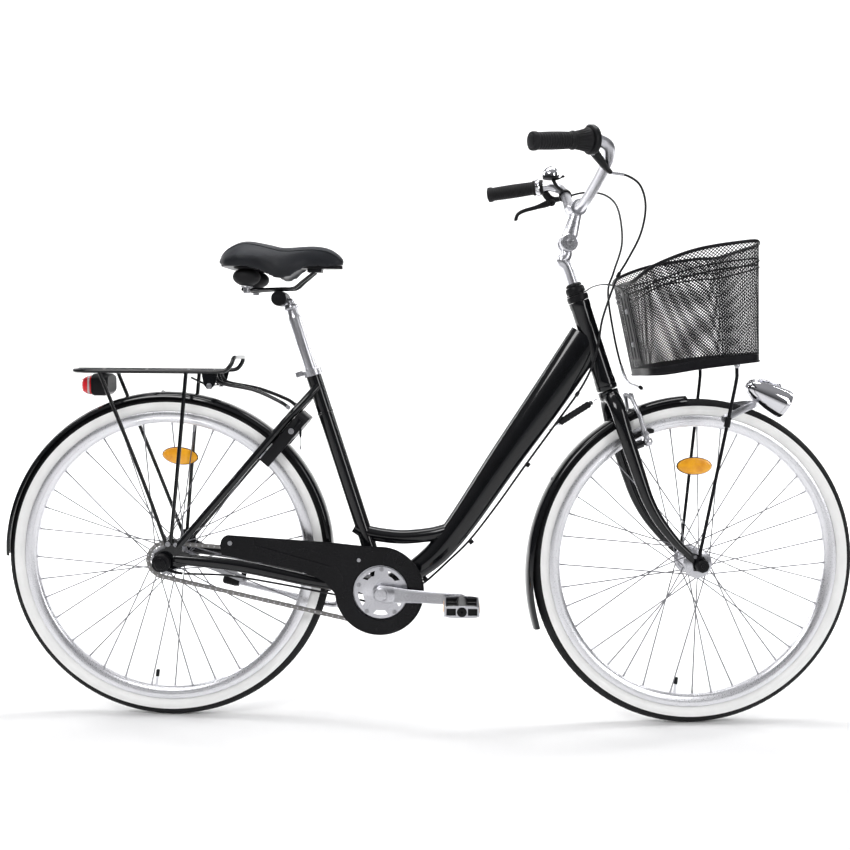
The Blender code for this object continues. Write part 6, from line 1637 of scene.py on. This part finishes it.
# ---- seat post and saddle -----------------------------------------------------------------
def build_seat_post():
    tube_top = CRANK + POST_AXIS * SEAT_TUBE
    post = Piece("seat_post_tube", "seat_post", ALLOY)
    post.turned(tube_top, POST_AXIS, [(0.009, -0.16), (0.013, -0.16), (0.0136, -0.158), (0.0136, 0.118),
        (0.0134, 0.119), (0.0112, 0.124), (0.011, 0.145), (0.01, 0.146)], 48)
    for mark in range(3):
        ring_at = tube_top + POST_AXIS * (0.004 + 0.0022 * mark)
        post.turned(ring_at, POST_AXIS, [(0.0134, 0.0), (0.01368, 0.0003), (0.01368, 0.0008),
            (0.0134, 0.0011)], 48)
    post.done("seat_post", slot="alloy")
    clamp = Piece("saddle_clamp_castings", "seat_post", PLASTIC, ALLOY)
    clamp.slot = 1
    clamp.tube([tube_top + POST_AXIS * 0.138, tube_top + POST_AXIS * 0.152,
        SADDLE_TILT - POST_AXIS * 0.008], [(0.0125, 0.0125), (0.0105, 0.0105), (0.01, 0.01)], 28,
        ACROSS)
    clamp.slot = 0
    clamp.turned(SADDLE_TILT, ACROSS, even((0.004, -0.032), (0.015, -0.032), (0.016, -0.0308)), 48)
    clamp.slot = 1
    clamp.turned(tube_top + POST_AXIS * 0.14, POST_AXIS, [(0.0112, -0.003), (0.0148, -0.0028),
        (0.0152, -0.0016), (0.015, 0.003), (0.013, 0.006), (0.0112, 0.0062)], 40, True)
    clamp.slot = 0
    for side in (-1.0, 1.0):
        middle = SADDLE_TILT + ACROSS * side * 0.0322
        teeth = []
        for k in range(48):
            turn = 2.0 * pi * k / 48
            radius = 0.015 if k % 2 else 0.0162
            teeth.append((middle.x + radius * cos(turn), middle.z + radius * sin(turn)))
        clamp.plate(teeth, side * 0.03, side * 0.0321)
    for side in (-1.0, 1.0):
        spot = SADDLE_TILT + ACROSS * side * 0.0322
        clamp.turned(spot, ACROSS * side, [(0.0072, -0.0006), (0.0072, 0.0006), (0.004, 0.001)], 32)
    clamp.done("saddle_clamp", slot="black_plastic", bevel=0.0004)


SADDLE_STATIONS = [(0.1205, 0.056, 0.993, 0.97), (0.14, 0.09, 1.013, 0.964),
    (0.174, 0.104, 1.0263, 0.964), (0.208, 0.101, 1.0225, 0.958), (0.235, 0.088, 1.0165, 0.945),
    (0.2484, 0.076, 1.0141, 0.939), (0.27, 0.056, 1.015, 0.948), (0.295, 0.04, 1.0178, 0.964),
    (0.318, 0.032, 1.0187, 0.969), (0.345, 0.027, 1.014, 0.968), (0.365, 0.021, 1.002, 0.97),
    (0.377, 0.011, 0.989, 0.975)]
SADDLE_FLOOR = 0.977


def saddle_section(x, half, top, edge, shrink):
    """One cross-section of the pad: a crowned top, rounded shoulders and a skirt down to the edge."""
    half = max(half - shrink, 0.004)
    top = top - shrink
    ring = []
    shoulder = min(0.5, 0.01 / half)
    for k in range(13):
        share = -1.0 + 2.0 * k / 12
        across = half * sin(share * pi / 2.0)
        drop = (top - edge) * 0.6 * (abs(sin(share * pi / 2.0)) ** 4.5)
        ring.append((x, across, top - drop - 0.002 * abs(share)))
    ring.append((x, half * (1.0 - 0.04), edge + shrink * 0.5))
    ring.append((x, half * (0.92 - shoulder * 0.1), edge + 0.0015))
    for k in range(7):
        share = 1.0 - 2.0 * k / 6
        ring.append((x, (half - 0.007) * 0.9 * share, min(edge + 0.012, SADDLE_FLOOR)))
    ring.append((x, -half * (0.92 - shoulder * 0.1), edge + 0.0015))
    ring.append((x, -half * (1.0 - 0.04), edge + shrink * 0.5))
    return ring


def build_saddle():
    shrink = 0.003
    rows = smooth_path([(a, b, c) for a, b, c, _ in SADDLE_STATIONS], 5)
    edges = smooth_path([(a, d, 0.0) for a, _, _, d in SADDLE_STATIONS], 5)
    pad = Piece("saddle_pad_foam", None, SADDLE_TOP, SADDLE_SHADED_SIDE)
    pad.loft([saddle_section(p.x, p.y, p.z, q.y, shrink) for p, q in zip(rows, edges)])
    bmesh.ops.recalc_face_normals(pad.bm, faces=pad.bm.faces)
    mesh = bpy.data.meshes.new("saddle_pad_foam")
    bmesh.ops.triangulate(pad.bm, faces=pad.bm.faces)
    pad.bm.to_mesh(mesh)
    pad.bm.free()
    for one in pad.materials:
        mesh.materials.append(one)
    thing = bpy.data.objects.new("saddle_pad_foam", mesh)
    bpy.context.collection.objects.link(thing)
    bake(thing, remesh=0.0045)
    frames = 20
    shell_top = 0.98
    before = [vert.co.copy() for vert in thing.data.vertices]
    pin = thing.vertex_groups.new(name="glued_to_shell")
    under = [v.index for v in thing.data.vertices if v.co.z < shell_top and v.normal.z < -0.3]
    pin.add(under, 1.0, "REPLACE")
    cloth = thing.modifiers.new("swell", "CLOTH")
    cloth.settings.quality = 6
    cloth.settings.use_pressure = True
    cloth.settings.uniform_pressure_force = 4.0
    cloth.settings.tension_stiffness = 25.0
    cloth.settings.compression_stiffness = 25.0
    cloth.settings.shear_stiffness = 12.0
    cloth.settings.bending_stiffness = 2.0
    cloth.settings.effector_weights.gravity = 0.0
    cloth.settings.vertex_group_mass = "glued_to_shell"
    cloth.point_cache.frame_start = 1
    cloth.point_cache.frame_end = frames
    for step in range(1, frames + 1):
        bpy.context.scene.frame_set(step)
    bake(thing)
    bpy.context.scene.frame_set(1)
    cap = 0.0035
    for vert, old in zip(thing.data.vertices, before):
        move = vert.co - old
        if move.length > cap:
            vert.co = old + move * (cap / move.length)
    thing.vertex_groups.clear()
    bake(thing, smooth=6, subdivide=1)
    # Steep and downward faces take the darker vinyl: painted shade on the pad's sides and underside
    steep = 0.52
    facing_down = -0.2
    for one in thing.data.polygons:
        painted_shade_face = abs(one.normal.z) < steep or one.normal.z < facing_down
        one.material_index = 1 if painted_shade_face else 0
    thing.data.shade_smooth()
    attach(thing, "saddle")
    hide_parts("saddle_pad")
    build_seam(thing)


def bake(thing, remesh=0.0, smooth=0, subdivide=0):
    """Applies what a modifier does to the mesh, so none is left on the piece."""
    if remesh:
        voxel = thing.modifiers.new("even_mesh", "REMESH")
        voxel.mode = "VOXEL"
        voxel.voxel_size = remesh
        voxel.adaptivity = 0.0
    if smooth:
        soft = thing.modifiers.new("soften", "SMOOTH")
        soft.factor = 0.5
        soft.iterations = smooth
    if subdivide:
        fine = thing.modifiers.new("finer", "SUBSURF")
        fine.levels = subdivide
        fine.render_levels = subdivide
    graph = bpy.context.evaluated_depsgraph_get()
    made = bpy.data.meshes.new_from_object(thing.evaluated_get(graph), preserve_all_data_layers=True,
        depsgraph=graph)
    thing.modifiers.clear()
    thing.data = made


def build_seam(pad):
    """Stitching along the pad's shoulder, laid on its surface."""
    tree = BVHTree.FromPolygons([pad.matrix_world @ v.co for v in pad.data.vertices],
        [p.vertices[:] for p in pad.data.polygons])
    seam = Piece("saddle_seams", "saddle", SADDLE_SHADED_SIDE, THREAD)
    stitch_gap = 0.0046
    lines = smooth_path([(a, b, c) for a, b, c, _ in SADDLE_STATIONS], 8)
    for side in (-1.0, 1.0):
        laid = []
        for point in lines[3:-3]:
            start = at(point.x, side * (point.y + 0.03), point.z - 0.012)
            hit, normal, _index, _distance = tree.ray_cast(start, at(0.0, -side, 0.0))
            if hit is not None:
                laid.append(hit + normal * 0.0001)
        laid = smooth_path(laid[::4] + [laid[-1]], 6)
        # The seam's cord is drawn in the darker side vinyl, painted shade
        seam.slot = 0
        seam.tube(laid, 0.0011, 10)
        seam.slot = 1
        walked = 0.0
        for a, b in zip(laid, laid[1:]):
            walked += (b - a).length
            if walked > stitch_gap:
                walked = 0.0
                seam.tube([a - UP * 0.0024, b - UP * 0.0024], 0.0005, 6)
    seam.done(slot="saddle_cover")


def build_saddle_base():
    shell = Piece("saddle_base_plate", "saddle", PLASTIC, STEEL, RUBBER)
    deck = 0.9755
    outline = []
    rows = smooth_path([(a, b, 0.0) for a, b, _, _ in SADDLE_STATIONS], 5)
    for point in rows[2:-2]:
        outline.append((point.x, max(point.y - 0.01, 0.004)))
    ring = [(x, y) for x, y in outline] + [(x, -y) for x, y in reversed(outline)]
    shell.loft([[(x, y, deck - 0.0075) for x, y in ring], [(x, y, deck - 0.0005) for x, y in ring]])
    for side in (-1.0, 1.0):
        x, y = 0.179, side * 0.054
        profile = [(0.018, 0.969), (0.0262, 0.9685), (0.027, 0.966), (0.025, 0.9645)]
        for k in range(13):
            turn = radians(62.0 - 124.0 * k / 12)
            profile.append((0.006 + 0.0226 * cos(turn), 0.9475 + 0.0172 * sin(turn)))
        profile += [(0.015, 0.931), (0.012, 0.93)]
        shell.slot = 2
        shell.turned((x, y, 0.0), UP, profile, 48)
        shell.slot = 1
        shell.turned((x, y, 0.0), UP, [(0.012, 0.9285), (0.0125, 0.926), (0.0072, 0.9255),
            (0.007, 0.915), (0.005, 0.914)], 24)
        shell.slot = 0
    shell.block((0.315, 0.0, 0.9655), (0.03, 0.036, 0.01))
    shell.done("saddle_shell", slot="black_plastic", bevel=0.0006)
    rails = Piece("saddle_rail_rods", "saddle", PAINT)
    half = [(0.17, 0.048, 0.9225), (0.179, 0.04, 0.9215), (0.205, 0.025, 0.9235),
        (0.245, 0.022, 0.9253), (0.272, 0.0215, 0.927), (0.29, 0.019, 0.941), (0.315, 0.013, 0.961)]
    for side in (-1.0, 1.0):
        rails.tube(on_side(half, side), 0.0035, 20, spans=8)
    rails.tube([(0.17, -0.048, 0.9225), (0.164, -0.02, 0.922), (0.164, 0.02, 0.922),
        (0.17, 0.048, 0.9225)], 0.0035, 20, spans=8)
    rails.done("saddle_rails", slot="black_paint")


# ---- stage and camera ---------------------------------------------------------------------
def build_stage():
    mesh = bpy.data.meshes.new("studio_floor")
    bm = bmesh.new()
    sweep = [(-9.0, 0.0), (5.0, 0.0)]
    for k in range(1, 13):
        turn = radians(90.0 * k / 12)
        sweep.append((5.0 + 3.0 * sin(turn), 3.0 - 3.0 * cos(turn)))
    sweep.append((8.0, 12.0))
    rows = []
    for y, z in sweep:
        rows.append([bm.verts.new((x, y, z - 0.0004)) for x in (-12.0, 13.0)])
    for a, b in zip(rows, rows[1:]):
        bm.faces.new((a[0], a[1], b[1], b[0]))
    bm.to_mesh(mesh)
    bm.free()
    mesh.shade_smooth()
    floor = bpy.data.objects.new("studio_floor", mesh)
    bpy.context.collection.objects.link(floor)
    mesh.materials.append(surface("paper_backdrop", (0.9, 0.9, 0.9), 0.75, shade=0.01, patches=0.6,
        grain=120.0, bump=0.02))


def add_light(name, place, target, size, watts, tint=(1.0, 1.0, 1.0)):
    data = bpy.data.lights.new(name, "AREA")
    data.shape = "RECTANGLE"
    data.size, data.size_y = size
    data.energy = watts
    data.color = tint
    lamp = bpy.data.objects.new(name, data)
    bpy.context.collection.objects.link(lamp)
    lamp.location = place
    lamp.rotation_euler = (Vector(target) - Vector(place)).to_track_quat("-Z", "Y").to_euler()


def build_world():
    """A dim studio: pale overhead and dark at eye level, so that paint and metal keep their contrast."""
    world = bpy.data.worlds.new("studio")
    bpy.context.scene.world = world
    world.use_nodes = True
    tree = world.node_tree
    place = node(tree, "ShaderNodeTexCoord")
    parts = node(tree, "ShaderNodeSeparateXYZ")
    tree.links.new(place.outputs["Generated"], parts.inputs["Vector"])
    ramp = tree.nodes.new("ShaderNodeValToRGB")
    ramp.color_ramp.elements[0].position = 0.05
    ramp.color_ramp.elements[0].color = (0.15, 0.152, 0.158, 1.0)
    ramp.color_ramp.elements[1].position = 0.75
    ramp.color_ramp.elements[1].color = (0.7, 0.7, 0.72, 1.0)
    tree.links.new(parts.outputs["Z"], ramp.inputs["Fac"])
    tree.links.new(ramp.outputs["Color"], tree.nodes["Background"].inputs["Color"])
    tree.nodes["Background"].inputs["Strength"].default_value = 0.55


def build_lights_and_camera():
    build_world()
    middle = (0.56, 0.0, 0.55)
    add_light("key_softbox", (-0.9, -2.8, 2.9), middle, (1.6, 1.2), 62.0)
    add_light("fill_softbox", (3.0, -2.2, 1.5), middle, (0.7, 1.8), 26.0)
    add_light("top_softbox", (0.5, 0.2, 3.2), middle, (3.2, 1.0), 60.0)
    add_light("backdrop_left", (-3.2, 1.2, 2.6), (-1.0, 8.0, 1.2), (3.0, 1.6), 430.0)
    add_light("backdrop_right", (4.4, 1.2, 2.6), (2.2, 8.0, 1.2), (3.0, 1.6), 430.0)
    bpy.context.scene.view_settings.view_transform = "Standard"
    data = bpy.data.cameras.new("photo_camera")
    data.lens = 44.83
    data.sensor_width = 36.0
    camera = bpy.data.objects.new("photo_camera", data)
    bpy.context.collection.objects.link(camera)
    pan = 0.0219
    down = 0.0796
    roll = 0.0071
    level = Matrix.Rotation(pan, 4, "Z") @ Matrix.Rotation(pi / 2.0 - down, 4, "X")
    look = level @ Matrix.Rotation(roll, 4, "Z")
    camera.matrix_world = Matrix.Translation((0.5989, -2.2552, 0.8189)) @ look
    bpy.context.scene.camera = camera


def main():
    build_wheels()
    build_fender("rear", REAR_AXLE, "frame", -11.5, 180.0, 200.0, 0.0, False)
    build_fender("front", FRONT_AXLE, "steering", 94.0, 202.5, 145.0, 0.017, True)
    build_frame()
    build_ring_lock()
    build_carrier()
    build_rear_lamp()
    build_chain()
    build_cranks()
    build_pedals()
    build_chainguard()
    build_coaster_arm()
    build_kickstand()
    build_fork()
    build_brakes()
    build_basket()
    build_basket_bracket()
    build_headlamp()
    build_stem()
    build_handlebar()
    build_grips()
    build_shifter()
    build_lever()
    build_bell()
    build_cables()
    build_seat_post()
    build_saddle()
    build_saddle_base()
    build_stage()
    build_lights_and_camera()


main()
